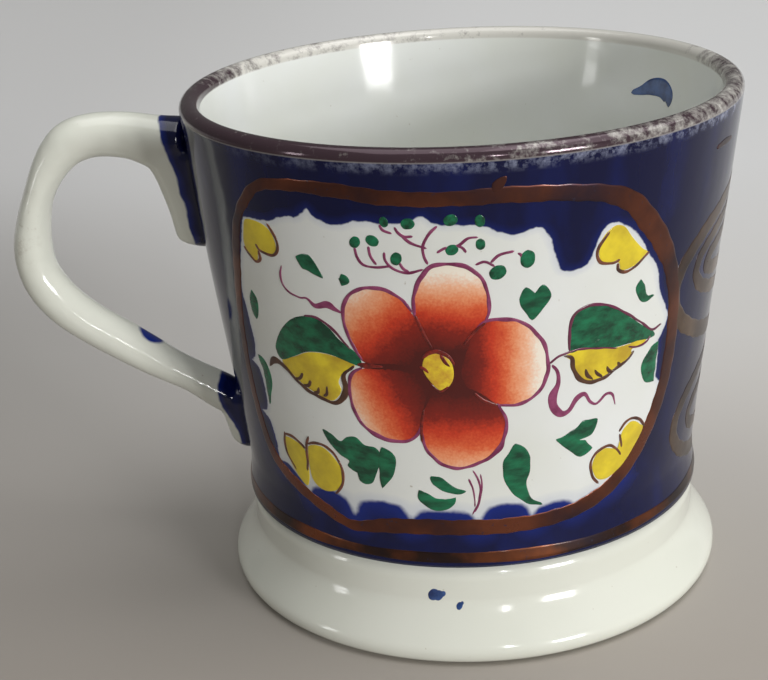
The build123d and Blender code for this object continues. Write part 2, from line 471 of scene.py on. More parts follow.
PETAL_LINES = [
    [(-5.0, 60.2, .4), (-4.9, 63.5, .6), (-3.7, 66.6, .7), (-2.2, 68.3, .7), (0, 68.7, .6),
     (2.4, 68.3, .7), (4.4, 66.7, .6), (5.5, 64, .55), (5.7, 61, .5), (5.1, 59, .4)],
    [(3.2, 57.4, .3), (5.2, 59.3, .5), (7.5, 59.4, .6), (9.9, 58.9, .6), (12.1, 57.1, .6),
     (13.8, 54.6, .65), (14.4, 52, .6), (14.5, 49.5, .7), (13.4, 46.9, .6), (11.5, 45.3, .6),
     (9.3, 44.7, .5), (6.7, 45, .4)],
    [(-5.4, 41.4, .4), (-4.9, 38, .6), (-3.5, 35.9, .6), (-1.7, 34.6, .6), (0.3, 34.1, .6),
     (2.6, 34.6, .55), (5, 35.7, .6), (6.9, 37.3, 1.0), (7.7, 39.4, .6), (8.1, 41.7, .55),
     (7.5, 43.8, .5), (6.7, 45.3, .3)],
    [(-13.8, 51.1, .3), (-15.6, 50, .55), (-16.5, 47.6, .6), (-16.5, 45, .6), (-15.8, 42.4, .6),
     (-14.3, 40.3, .6), (-12.3, 39.2, 1.0), (-10.5, 38.7, .6), (-8.3, 38.7, .6),
     (-6.5, 39.4, .55), (-5.5, 41, .45), (-5.1, 42.6, .3)],
    [(-13.6, 52.2, .3), (-15.1, 55, .55), (-15.8, 57.5, .55), (-16, 60, .6), (-15.1, 62.6, .6),
     (-13.2, 64.1, .6), (-11, 64.7, .6), (-8.6, 64.3, .6), (-6.6, 62.9, .5), (-5.1, 60.8, .3)],
]
# Ground of the flower between the petals' roots.
FLOWER_MIDDLE = [(-4.8, 59), (-2, 58.5), (2.8, 57), (4.6, 56.4), (4.8, 52), (4.6, 47),
                 (5.6, 45.6), (2, 45), (-3, 44.4), (-5.3, 43.4), (-5.8, 45), (-8, 49),
                 (-14, 51.5), (-8, 54), (-5.6, 57)]
HEART = [(-4.4, 51.5), (-4.0, 53.5), (-2.5, 54.3), (-0.3, 53.2), (0.3, 51), (-0.2, 49),
         (-1.8, 47.8), (-3.3, 49.3)]
HEART_TICKS = [[(-4.3, 53.4, .5), (-3.2, 54.3, .7), (-1.8, 54.5, .7), (-0.4, 53.7, .5),
                (0.4, 52.2, .4)],
               [(-1.6, 54.0, .5), (-1.0, 52.8, .7), (-0.3, 52.0, .3)],
               [(-4.8, 52.0, .4), (-4.0, 51.5, .6), (-3.5, 50.9, .3)],
               [(-3.4, 49.2, .3), (-2.0, 47.8, .4), (-0.6, 48.6, .3)]]

# Dark seams where one petal lies over the next.
PETAL_SEAMS = [[(3.2, 47.4, .3), (4.6, 46, .5), (6.6, 45, .4)],
               [(-4.6, 44.6, .3), (-5.2, 41.5, .5), (-5.3, 38.8, .4)],
               [(-4.9, 60.6, .4), (-3.8, 57.4, .5), (-2.7, 55, .3)],
               [(5.2, 59.1, .4), (3.6, 57.8, .5), (1.9, 55.6, .3)],
               [(-14.6, 51.6, .5), (-13.2, 51.5, 1.0), (-11.8, 51.6, .6), (-10.5, 51.6, .3)]]

# Leaves either side of the flower: the green half, the yellow half, then the lines on them.
GREEN_HALVES = [
    [(-30.6, 50.8), (-30.3, 52.3), (-28.5, 55), (-26, 57.3), (-23.5, 58.4), (-21, 58.5),
     (-18.8, 57.3), (-17, 55.3), (-14.5, 53.5), (-13.8, 52), (-14.2, 51.2), (-16.5, 52),
     (-20, 52.6), (-23.5, 52.2), (-26.5, 50.8), (-29.5, 49.5)],
    [(17.9, 52.4), (17.9, 56.5), (18.6, 58.6), (20.5, 59.5), (23, 59.3), (26, 57.8), (29, 55.5),
     (31.5, 53.6), (33.3, 52.6), (34.4, 51.1), (32, 51), (29, 51.3), (26, 51.4), (23, 52.1),
     (20, 52.6)],
]
YELLOW_HALVES = [
    [(-29.5, 49.5), (-26.5, 50.8), (-23.5, 52.2), (-20, 52.6), (-16.5, 52), (-15, 51.2),
     (-17, 50), (-18.3, 48), (-18, 46.5), (-19.2, 44.8), (-20.5, 44.3), (-23, 45), (-26, 46.3),
     (-28.5, 48.2)],
    [(17.3, 52), (20, 52.6), (23, 52.1), (26, 51.4), (29, 51.3), (31.5, 51.6), (32.5, 50.9),
     (31, 50.4), (29.5, 50.2), (29.3, 49), (27, 47.8), (24.5, 46.9), (22, 46.5), (20, 47.7),
     (18.8, 49.5), (18.3, 50.8)],
]
LEAF_EDGES = [
    [(-33, 47.4, .5), (-31.5, 48.9, 1.2), (-29.5, 48.6, .8), (-27.5, 47, .6), (-25, 45.4, .6),
     (-22, 44.4, .6), (-20, 44, .7), (-18.2, 44.9, .9), (-17.2, 47, 1.1), (-17.2, 49.3, .7),
     (-15.2, 51.3, .3)],
    [(17, 52, .3), (18.3, 51.3, .7), (18.8, 49.3, .7), (20, 47.3, .8), (21.7, 46.5, .8),
     (24, 46.6, .6), (26.5, 47.7, .6), (28.5, 48.5, .6), (29.8, 49.8, .3)],
] + [[(a, b, .45), (c, d, .6), (e, f, .35)] for a, b, c, d, e, f in (
    (-27.2, 46.8, -26, 47, -25.2, 48.2), (-25.5, 46, -24.3, 46.2, -23.8, 47.2),
    (-23.5, 45.2, -22.6, 45.4, -22.2, 46.3), (-21.6, 44.9, -20.8, 45.5, -20.6, 46.8),
    (20.8, 49.0, 21.2, 47.8, 22.2, 46.8), (22.4, 48.5, 22.9, 47.7, 23.9, 46.9),
    (24.6, 48.6, 25, 47.8, 25.8, 47.2), (26.7, 48.8, 27, 48.3, 27.5, 47.8))]
LEAF_LINES = [
    [(-23, 58.6, .3), (-20.5, 58.5, .45), (-18, 57, .45), (-15.5, 54, .3)],
    [(17.9, 52.5, .35), (17.8, 56.5, .5), (18.6, 58.7, .5), (20.6, 59.6, .5), (23.5, 59.2, .45),
     (27, 57.2, .4), (31, 54.2, .4), (33.5, 52.4, .4), (35.6, 52.7, .3)],
    [(14.7, 51.1, .3), (16.5, 52.1, .4), (19.5, 52.6, .35), (23, 52, .3), (26.5, 51.2, .25)],
    [(28.6, 50.9, .3), (30.3, 50.3, .4), (32.4, 50.6, .4), (33.2, 51.4, .3)],
]

# Buds in the four corners of the panel.
BUDS = [
    [(-32.5, 72.6), (-29, 72.6), (-27.2, 71.5), (-26.5, 69.5), (-27, 68), (-28.8, 67.8),
     (-30.3, 68), (-30.9, 67), (-31.3, 65.9), (-32.8, 66.6), (-34, 68.2), (-33.6, 70.5)],
    [(23.2, 71.2), (24.5, 71.8), (26, 71.2), (27.5, 69.2), (29.5, 67), (30.8, 66), (29.8, 65),
     (27.5, 64.2), (25.8, 64.3), (25.3, 65.6), (23.5, 66), (22.2, 66.7), (21.8, 68.2),
     (22.2, 70)],
    [(-32.8, 33.8), (-32.3, 34.8), (-30, 34.7), (-28, 33.8), (-27.6, 31), (-28, 28),
     (-29, 26.5), (-31, 28), (-32.6, 30.5)],
    [(-27.2, 33.5), (-26.5, 34.8), (-24, 35.3), (-22, 34.3), (-20.3, 32), (-20.4, 29.5),
     (-22, 27.5), (-25, 26.8), (-27.3, 28.5)],
    [(28.8, 35.5), (30, 36.9), (31.5, 37), (33, 36), (34, 34.8), (32, 32), (30, 29.8),
     (28, 28.6), (26, 28), (24.2, 28.6), (23.2, 30.5), (23.2, 32), (24, 33.3), (25.5, 33.8),
     (27.2, 33.3), (28.5, 32.9)],
]
BUD_LINES = [
    [(-27.7, 72.8), (-26.3, 70.5), (-26.3, 68.7), (-27.7, 67.6), (-30, 67.9), (-31, 68.8)],
    [(-30.6, 67.8), (-30.4, 66.5), (-31.6, 65.8), (-33, 66.7), (-34, 67.8)],
    [(23.4, 71), (22, 69.2), (21.6, 67.6), (22.4, 66.2), (24.2, 65.8), (25.5, 66.1)],
    [(25.2, 65.6), (25.4, 64.4), (27, 63.8), (29, 64.6), (30.9, 66.1)],
    [(-32.5, 35.6), (-33.1, 33), (-32.6, 31), (-31, 29)],
    [(-32.6, 35.2), (-30.5, 35.3), (-28.5, 34.5), (-27.8, 33.8)],
    [(-26.4, 36.5), (-27.3, 34.5), (-27.6, 32), (-28.1, 29.6)],
    [(-26.9, 34.9), (-25, 35.6), (-22.8, 35.5), (-20.9, 33.9), (-20.1, 31.5), (-20.5, 29),
     (-22.3, 26.8)],
    [(28.2, 36), (29.5, 37.3), (31.2, 37.6), (32.8, 36.8), (34.3, 35.2)],
    [(28.4, 35.6), (28.8, 34), (29, 33)],
    [(29, 31.6), (28, 33), (26.5, 34), (25, 34), (23.5, 33.2), (22.8, 31.8), (23.2, 29.6),
     (24.6, 27.6)],
]

# Small leaves, each one stroke of the brush.
SMALL_LEAVES = [
    [(-22.9, 68.3, 1.6), (-21.6, 67.8, 2.9), (-20.2, 66.9, 2.1), (-18.6, 65.4, .25)],
    [(-15.4, 66.5, 1.9), (-15.2, 65.6, 2.3), (-15.6, 64.6, .4)],
    [(-34.2, 60.4, .8), (-34.1, 59, 2), (-34.2, 57.2, 2.1), (-34.2, 55.4, .8)],
    [(-36, 48.6, .9), (-34.8, 47.2, 1.8), (-34.3, 45.2, 2.2), (-34.7, 42.8, 1.4),
     (-35.4, 39.8, .3)],
    [(11, 64.2, 1.7), (11.2, 62.6, 2.6), (11.6, 60.6, 1.8), (11.9, 58.8, .3)],
    [(13.6, 64.3, 1.7), (13.4, 62.6, 2.7), (12.7, 60.6, 1.8), (11.9, 58.8, .3)],
    [(29.8, 61.8, 1), (29.9, 60.4, 1.8), (30.6, 58.9, 1.6), (31.6, 58.2, 1), (33, 58.3, .3)],
    [(35.4, 49.8, .8), (34.3, 48.2, 2.6), (33.7, 46.2, 3.6), (34.2, 44.2, 2.8), (35.3, 42.8, .9)],
    [(23.6, 39.6, 2.0), (22, 38.6, 3.3), (20.2, 37.8, 2.6), (18, 37.5, 1.4), (16.2, 37.5, .25)],
    [(22.9, 34.6, 1.8), (21.2, 34.9, 2.9), (19.6, 35.7, 2.4), (17.8, 36.8, 1.4), (16.2, 37.5, .25)],
    [(9.5, 37.9, 2), (9.8, 36.2, 4), (9.7, 33.6, 4.7), (9.7, 31, 3.7), (10.5, 28.9, 2.3),
     (12, 27.2, 1.1), (14.1, 26.2, .3)],
    [(-4.3, 32.6, 1.2), (-3.2, 31.6, 2), (-1.6, 30.5, 1.8), (-0.2, 29.9, 1.1), (1.3, 29.9, .25)],
    [(-6.5, 30, 1), (-5.7, 28.7, 2), (-4.2, 27.6, 2.4), (-2.4, 27.4, 2.2), (-1.2, 28, 1.4),
     (-0.4, 28.8, .3)],
    [(-12.1, 37.3, 1.2), (-11.5, 35.6, 3.0), (-11.7, 33.4, 3.0), (-12.3, 31.4, 1.7),
     (-12.8, 29.7, .3)],
]
# Three leaves that ran together in the wet, at the bottom left.
LEAF_CLUMP = [(-23, 38.7), (-21.3, 38.2), (-19.7, 37.2), (-18.3, 38.2), (-16.6, 38.5), (-15.1, 37.3),
              (-13.3, 37.1), (-12.4, 35.9), (-12.8, 34.1), (-13.7, 31.9), (-14.5, 30.4), (-15.8, 29.9),
              (-16.9, 30.4), (-17, 31.6), (-18, 32.1), (-18.9, 32.8), (-18.5, 33.8), (-20.1, 34.6),
              (-21.5, 35.9), (-22.5, 37.2)]

# Berries above the flower, with their size, and the stalks.
BERRIES = [(-12.8, 71.8, .85), (-10.2, 72.2, .9), (-7, 69.5, .9), (-8.3, 75.2, .7), (-5, 75, .9),
           (0.8, 75.5, .9), (4.7, 75.2, .8), (0.8, 70.9, .85), (4.7, 71.6, .75), (7, 67, 1.15),
           (11.2, 68.7, 1.2)]
STALKS = [
    [(-12.9, 71), (-12.7, 69.5), (-11.8, 68.3), (-10, 68), (-7.8, 68.3)],
    [(-10.8, 71.3), (-10.7, 69.8), (-9.9, 68.4)],
    [(-8.6, 70.5), (-8.6, 69.2), (-7.6, 68), (-5.6, 67.3), (-3.2, 67.9)],
    [(-6.6, 69), (-6, 67.9), (-5.3, 67.5)],
    [(-9, 74.8), (-8.5, 73.9), (-7.3, 73.4)],
    [(-6.9, 74.5), (-6.4, 73.6), (-5.6, 73), (-4.4, 73.1)],
    [(-6.2, 73.4), (-4.7, 72), (-2.6, 71.2)],
    [(-1, 74.7), (-2.3, 73.3), (-3.1, 71.5), (-3.1, 70), (-2.6, 68.7)],
    [(-1.3, 70.5), (-0.5, 71), (0.2, 71.3)],
    [(0.5, 71.2), (1.8, 71.6), (3, 72.6), (4.4, 72.7)],
    [(1.6, 71.6), (2.3, 71.1), (2.7, 70.4)],
    [(3.9, 68.4), (5.2, 68.8), (6.6, 68)],
    [(6, 68.6), (7.2, 69.7), (9.3, 70.2)],
    [(9.8, 69.8), (10.2, 69.5), (10.4, 69)],
]
TENDRILS = [
    [(-26, 66.3, .3), (-26.5, 64.8, .35), (-26.3, 63.1, .35), (-25, 61.9, .35), (-23.3, 61.5, .35),
     (-22, 61.6, .4), (-20.6, 60.6, .7), (-18.5, 61.1, 1.3), (-17.3, 60.5, .8), (-16.2, 60, .4)],
    [(15.2, 50.8, .4), (16, 49.5, .6), (16.3, 47.5, .8), (15.5, 45.5, 1.4), (15.6, 43.6, 1.5),
     (16.8, 42, 1.3), (18.2, 42.3, .8), (19.6, 44.2, .9), (20.9, 44.6, .8), (22.0, 43.0, .5),
     (23.2, 42.4, .45), (24.8, 43.6, .5), (26.2, 43.2, .45), (26.9, 41.2, .3)],
    [(2.6, 33.7, .3), (3.6, 31, .35), (3.4, 28, .3), (2.2, 25.5, .25)],
    [(1.9, 32.2, .3), (2.6, 29.5, .3), (2.7, 27, .25)],
    [(3.8, 33, .3), (3.9, 30, .3), (3.2, 27.2, .3), (2.6, 26, .25)],
]

# Lens drop of cobalt on the inner wall, as degrees round the pot, height and width.
INNER_DROP = [(40.2, 75.9, 0.8), (37, 76.6, 1.7), (33.5, 77.6, 3.0), (29.5, 77.8, 3.4),
              (26.6, 76.6, 3.0), (25.8, 75.0, 1.4)]
FOOT_SPECKS = [(-99.8, 10.9, 2.0), (-98.7, 10.8, 1.8), (-97.6, 11.1, 1.0), (-93.8, 9.1, 1.1),
               (-93.2, 9.5, 0.6)]

HANDLE_DAB = (-0.0555, 0.0005, 0.0425)     # touch of cobalt on the upper side of the arm

# Handle and its pressed-on tails, from the joint outwards: reach from the pot's axis, height,
# thickness to the outside and to the inside of the line, and width.
ROD = [(44.5, 77.4, 4.2, 4.3, 10.2), (47.5, 77.7, 4.0, 4.0, 9.4), (51.5, 78.2, 3.9, 4.8, 8.6),
       (56.0, 79.0, 3.8, 4.1, 8.2), (61.1, 79.2, 3.7, 3.8, 8.2), (65.2, 78.2, 3.8, 3.7, 8.2),
       (68.0, 76.0, 3.5, 3.3, 8.2), (70.4, 72.9, 2.9, 2.9, 8.2), (72.4, 68.9, 2.6, 2.6, 8.2),
       (73.7, 64.8, 2.9, 2.9, 8.2), (74.5, 60.4, 3.3, 3.3, 8.2), (74.3, 56.3, 3.5, 3.4, 8.2),
       (72.8, 52.3, 3.7, 3.6, 8.2), (69.9, 48.5, 3.7, 3.6, 8.2), (65.8, 45.0, 3.5, 3.5, 8.2),
       (60.9, 41.8, 3.5, 3.5, 8.1), (56.2, 38.8, 3.4, 3.2, 7.8), (52.4, 36.4, 3.0, 2.8, 7.6),
       (48.8, 34.3, 2.8, 2.8, 7.6), (44.8, 31.6, 3.1, 3.3, 8.0), (41.0, 29.2, 3.2, 3.3, 8.6)]
UPPER_TAIL = [(44.9, 78, 11.5, 1.6, 9.2), (44.9, 76, 11.2, 1.4, 9.2), (44.8, 74, 8.9, 1.4, 9.0),
              (44.8, 71.8, 7.2, 1.4, 8.8), (44.6, 69.1, 6.4, 1.4, 8.4), (44.2, 65.9, 5.9, 1.3, 8.2),
              (43.8, 62.8, 5.7, 1.3, 8.4), (43.5, 60.6, 5.4, 1.2, 8.4), (43.3, 58.7, 4.2, 1.0, 6.8)]
LOWER_TAIL = [(40.0, 33, 4.6, 1.2, 8.2), (39.8, 30, 5.8, 1.2, 8.4), (39.6, 27.9, 4.9, 1.2, 8.0),
              (39.4, 24.4, 4.1, 1.2, 7.4), (39.3, 21.9, 3.6, 1.1, 7.2), (39.2, 20.2, 2.6, 1.0, 6.0)]


# ---------------------------------------------------------------- materials

def add_node(tree, kind, settings=None, inputs=None, stops=None):
    """Adds a node. Settings are its own properties, inputs are linked if they are sockets and
    set if they are values, and stops are the places and colours of a ramp."""
    made = tree.nodes.new(kind)
    for key, value in (settings or {}).items():
        setattr(made, key, value)
    for key, value in (inputs or {}).items():
        if isinstance(value, bpy.types.NodeSocket):
            tree.links.new(value, made.inputs[key])
        else:
            made.inputs[key].default_value = value
    if stops:
        elements = made.color_ramp.elements
        while len(elements) < len(stops):
            elements.new(1.0)
        for element, (place, colour) in zip(elements, stops):
            element.position, element.color = place, colour
    return made


def start_material(name, **fixed):
    """A material with its shader's everywhere-equal values set. Returns it, its tree, its
    shader and the object coordinates."""
    material = bpy.data.materials.new(name)
    material.use_nodes = True
    tree = material.node_tree
    shader = tree.nodes["Principled BSDF"]
    for key, value in fixed.items():
        shader.inputs[key.replace("_", " ")].default_value = value
    return material, tree, shader, add_node(tree, "ShaderNodeTexCoord").outputs["Object"]


def per(size):
    """Texture scale whose pattern repeats about every size millimetres."""
    return 1 / (size * MM)


def glaze_skin(tree, shader, place, apart=5.0, height=0.12):
    """Ripple of a fired glaze: waves a few millimetres apart, too low to see but for the way
    they bend highlights."""
    ripple = add_node(tree, "ShaderNodeTexNoise", inputs={
        "Vector": place, "Scale": per(apart), "Detail": 1.0})
    bump = add_node(tree, "ShaderNodeBump", inputs={
        "Height": ripple.outputs["Fac"], "Strength": 0.4, "Distance": height * MM})
    tree.links.new(bump.outputs["Normal"], shader.inputs["Normal"])


def flecked_white(tree, place, white):
    """Colour of the cream glaze: slow clouds between cream and a greener cream, with sparse
    brown flecks of iron under half a millimetre across."""
    cloud = add_node(tree, "ShaderNodeTexNoise", inputs={
        "Vector": place, "Scale": per(22), "Detail": 3.0})
    green_cream = add_node(tree, "ShaderNodeMix", {"data_type": "RGBA"}, {
        "Factor": cloud.outputs["Fac"], "A": white, "B": linear("#d6d8cc")})
    fleck = add_node(tree, "ShaderNodeTexNoise", inputs={
        "Vector": place, "Scale": per(1.1), "Detail": 3.0, "Roughness": 0.6})
    fleck_mask = add_node(tree, "ShaderNodeMapRange", inputs={
        "Value": fleck.outputs["Fac"], "From Min": 0.72, "From Max": 0.80, "To Max": 0.5})
    flecked = add_node(tree, "ShaderNodeMix", {"data_type": "RGBA"}, {
        "Factor": fleck_mask.outputs["Result"], "A": green_cream.outputs["Result"],
        "B": linear("#8d7a5e")})
    return flecked.outputs["Result"]


def cobalt_colour(tree, place, finish, edge):
    """Colour of the cobalt: brushed clouds between thick and thin, thinner still where edge,
    the distance to bare glaze, is small."""
    stretched = add_node(tree, "ShaderNodeMapping", inputs={
        "Vector": place, "Scale": (1.0, 1.0, 0.35)})
    brushed = add_node(tree, "ShaderNodeTexNoise", inputs={
        "Vector": stretched.outputs["Vector"], "Scale": per(7.0), "Detail": 4.0})
    streak = add_node(tree, "ShaderNodeMapRange", inputs={
        "Value": brushed.outputs["Fac"], "From Min": 0.5, "From Max": 0.8, "To Max": 0.3})
    bled = add_node(tree, "ShaderNodeMath", {"operation": "MAXIMUM"}, {
        0: streak.outputs["Result"], 1: edge})
    return add_node(tree, "ShaderNodeMix", {"data_type": "RGBA"}, {
        "Factor": bled.outputs[0], "A": finish.cobalt,
        "B": finish.cobalt_thin}).outputs["Result"]


def painted_wall(form, finish):
    """Underglaze cobalt round white panels on glazed pottery, with a lustre lip. The cobalt
    bleeds a little into the glaze, so its edge is soft, wavy and paler; the lustre is a worn
    metal film whose bare places show the glaze. The film is thinned more towards the back, and
    towards +X, where the lip is paler."""
    material, tree, shader, place = start_material(
        "glazed_pottery_cobalt_ground", Roughness=0.12, Specular_IOR_Level=0.36)
    reserve = add_node(tree, "ShaderNodeAttribute", {"attribute_name": "reserve"})
    wobble = add_node(tree, "ShaderNodeTexNoise", inputs={
        "Vector": place, "Scale": per(1.6), "Detail": 2.0})
    split = add_node(tree, "ShaderNodeSeparateXYZ", inputs={"Vector": place})
    sharpness = add_node(tree, "ShaderNodeMapRange", inputs={
        "Value": split.outputs["Z"], "From Min": 26.5 * MM, "From Max": 31 * MM, "To Min": 0.3,
        "To Max": 1.0})
    wavy = add_node(tree, "ShaderNodeMath", {"operation": "MULTIPLY_ADD"}, {
        0: wobble.outputs["Fac"], 1: 0.7, 2: reserve.outputs["Fac"]})
    from_edge = add_node(tree, "ShaderNodeMath", {"operation": "SUBTRACT"}, {
        0: wavy.outputs[0], 1: 0.35})
    shifted = add_node(tree, "ShaderNodeMath", {"operation": "MULTIPLY_ADD"}, {
        0: from_edge.outputs[0], 1: sharpness.outputs["Result"], 2: 0.35})
    bare = add_node(tree, "ShaderNodeMapRange", {"interpolation_type": "SMOOTHSTEP"}, {
        "Value": shifted.outputs[0], "From Min": 0.2, "From Max": 0.5})
    edge = add_node(tree, "ShaderNodeMapRange", inputs={
        "Value": shifted.outputs[0], "From Min": -1.2, "From Max": 0.35})
    washed = add_node(tree, "ShaderNodeMapRange", inputs={
        "Value": split.outputs["Z"], "From Min": 26 * MM, "From Max": 40 * MM, "To Min": 0.9,
        "To Max": 0.4})
    edge = add_node(tree, "ShaderNodeMath", {"operation": "MULTIPLY"}, {
        0: edge.outputs["Result"], 1: washed.outputs["Result"]})
    halo = add_node(tree, "ShaderNodeMapRange", inputs={
        "Value": shifted.outputs[0], "From Min": 0.4, "From Max": 1.5, "To Min": 0.22,
        "To Max": 0.0})
    white = add_node(tree, "ShaderNodeMix", {"data_type": "RGBA"}, {
        "Factor": halo.outputs["Result"], "A": flecked_white(tree, place, finish.panel),
        "B": linear("#7f8fc0")})
    cobalt = cobalt_colour(tree, place, finish, edge.outputs[0])
    painted = add_node(tree, "ShaderNodeMix", {"data_type": "RGBA"}, {
        "Factor": bare.outputs["Result"], "A": cobalt, "B": white.outputs["Result"]})
    lip_height = HEIGHT - form.wall / 2
    over_lip = add_node(tree, "ShaderNodeMapRange", inputs={
        "Value": split.outputs["Z"], "From Min": (lip_height - 0.35) * MM,
        "From Max": (lip_height - 0.05) * MM})
    bare_back = add_node(tree, "ShaderNodeMapRange", inputs={
        "Value": split.outputs["Y"], "From Min": 4 * MM, "From Max": 24 * MM,
        "To Min": 0.25, "To Max": 0.68})
    # The lustre is thinned more and more towards +X, so the lip is paler on its right.
    paler_to_right = add_node(tree, "ShaderNodeMapRange", inputs={
        "Value": split.outputs["X"], "From Min": -10 * MM, "From Max": 40 * MM,
        "To Min": 0.0, "To Max": 0.22})
    rubbed = add_node(tree, "ShaderNodeMath", {"operation": "ADD"}, {
        0: bare_back.outputs["Result"], 1: paler_to_right.outputs["Result"]})
    worn = add_node(tree, "ShaderNodeTexNoise", inputs={
        "Vector": place, "Scale": per(1.7), "Detail": 6.0, "Roughness": 0.7})
    kept = add_node(tree, "ShaderNodeMath", {"operation": "SUBTRACT"}, {
        0: worn.outputs["Fac"], 1: rubbed.outputs[0]})
    film = add_node(tree, "ShaderNodeMapRange", inputs={
        "Value": kept.outputs[0], "From Min": -0.20, "From Max": 0.16,
        "To Min": 0.12})
    lustre = add_node(tree, "ShaderNodeMath", {"operation": "MULTIPLY"}, {
        0: film.outputs["Result"], 1: over_lip.outputs["Result"]})
    under_lip = add_node(tree, "ShaderNodeMapRange", {"interpolation_type": "SMOOTHSTEP"}, {
        "Value": split.outputs["Z"], "From Min": (lip_height - 2.3) * MM,
        "From Max": (lip_height - 0.7) * MM})
    scuffed = add_node(tree, "ShaderNodeMapRange", inputs={
        "Value": worn.outputs["Fac"], "From Min": 0.44, "From Max": 0.66, "To Max": 0.75})
    outside = add_node(tree, "ShaderNodeMapRange", inputs={
        "Value": reserve.outputs["Fac"], "From Min": 2.0, "From Max": 4.0, "To Min": 1.0,
        "To Max": 0.0})
    handled = add_node(tree, "ShaderNodeMapRange", inputs={
        "Value": split.outputs["X"], "From Min": -34 * MM, "From Max": 6 * MM, "To Min": 0.15})
    scuffed = add_node(tree, "ShaderNodeMath", {"operation": "MULTIPLY"}, {
        0: scuffed.outputs["Result"], 1: handled.outputs["Result"]})
    scuff = add_node(tree, "ShaderNodeMath", {"operation": "MULTIPLY"}, {
        0: under_lip.outputs["Result"], 1: scuffed.outputs[0]})
    scuff = add_node(tree, "ShaderNodeMath", {"operation": "MULTIPLY"}, {
        0: scuff.outputs[0], 1: outside.outputs["Result"]})
    scuffed_ground = add_node(tree, "ShaderNodeMix", {"data_type": "RGBA"}, {
        "Factor": scuff.outputs[0], "A": painted.outputs["Result"], "B": linear("#9aa0b8")})
    bare_lip = add_node(tree, "ShaderNodeMix", {"data_type": "RGBA"}, {
        "Factor": over_lip.outputs["Result"], "A": scuffed_ground.outputs["Result"],
        "B": linear("#dad8d0")})
    finished = add_node(tree, "ShaderNodeMix", {"data_type": "RGBA"}, {
        "Factor": lustre.outputs[0], "A": bare_lip.outputs["Result"], "B": finish.pink})
    tree.links.new(finished.outputs["Result"], shader.inputs["Base Color"])
    metal = add_node(tree, "ShaderNodeMath", {"operation": "MULTIPLY"}, {
        0: lustre.outputs[0], 1: 0.35})
    tree.links.new(metal.outputs[0], shader.inputs["Metallic"])
    glaze_skin(tree, shader, place)
    return material


def plain_glaze(finish):
    """Cream lead glaze on pottery: glossy, faintly clouded, with a few flecks of iron."""
    material, tree, shader, place = start_material(
        "cream_glazed_pottery", Roughness=0.12)
    tree.links.new(flecked_white(tree, place, finish.white), shader.inputs["Base Color"])
    glaze_skin(tree, shader, place)
    return material


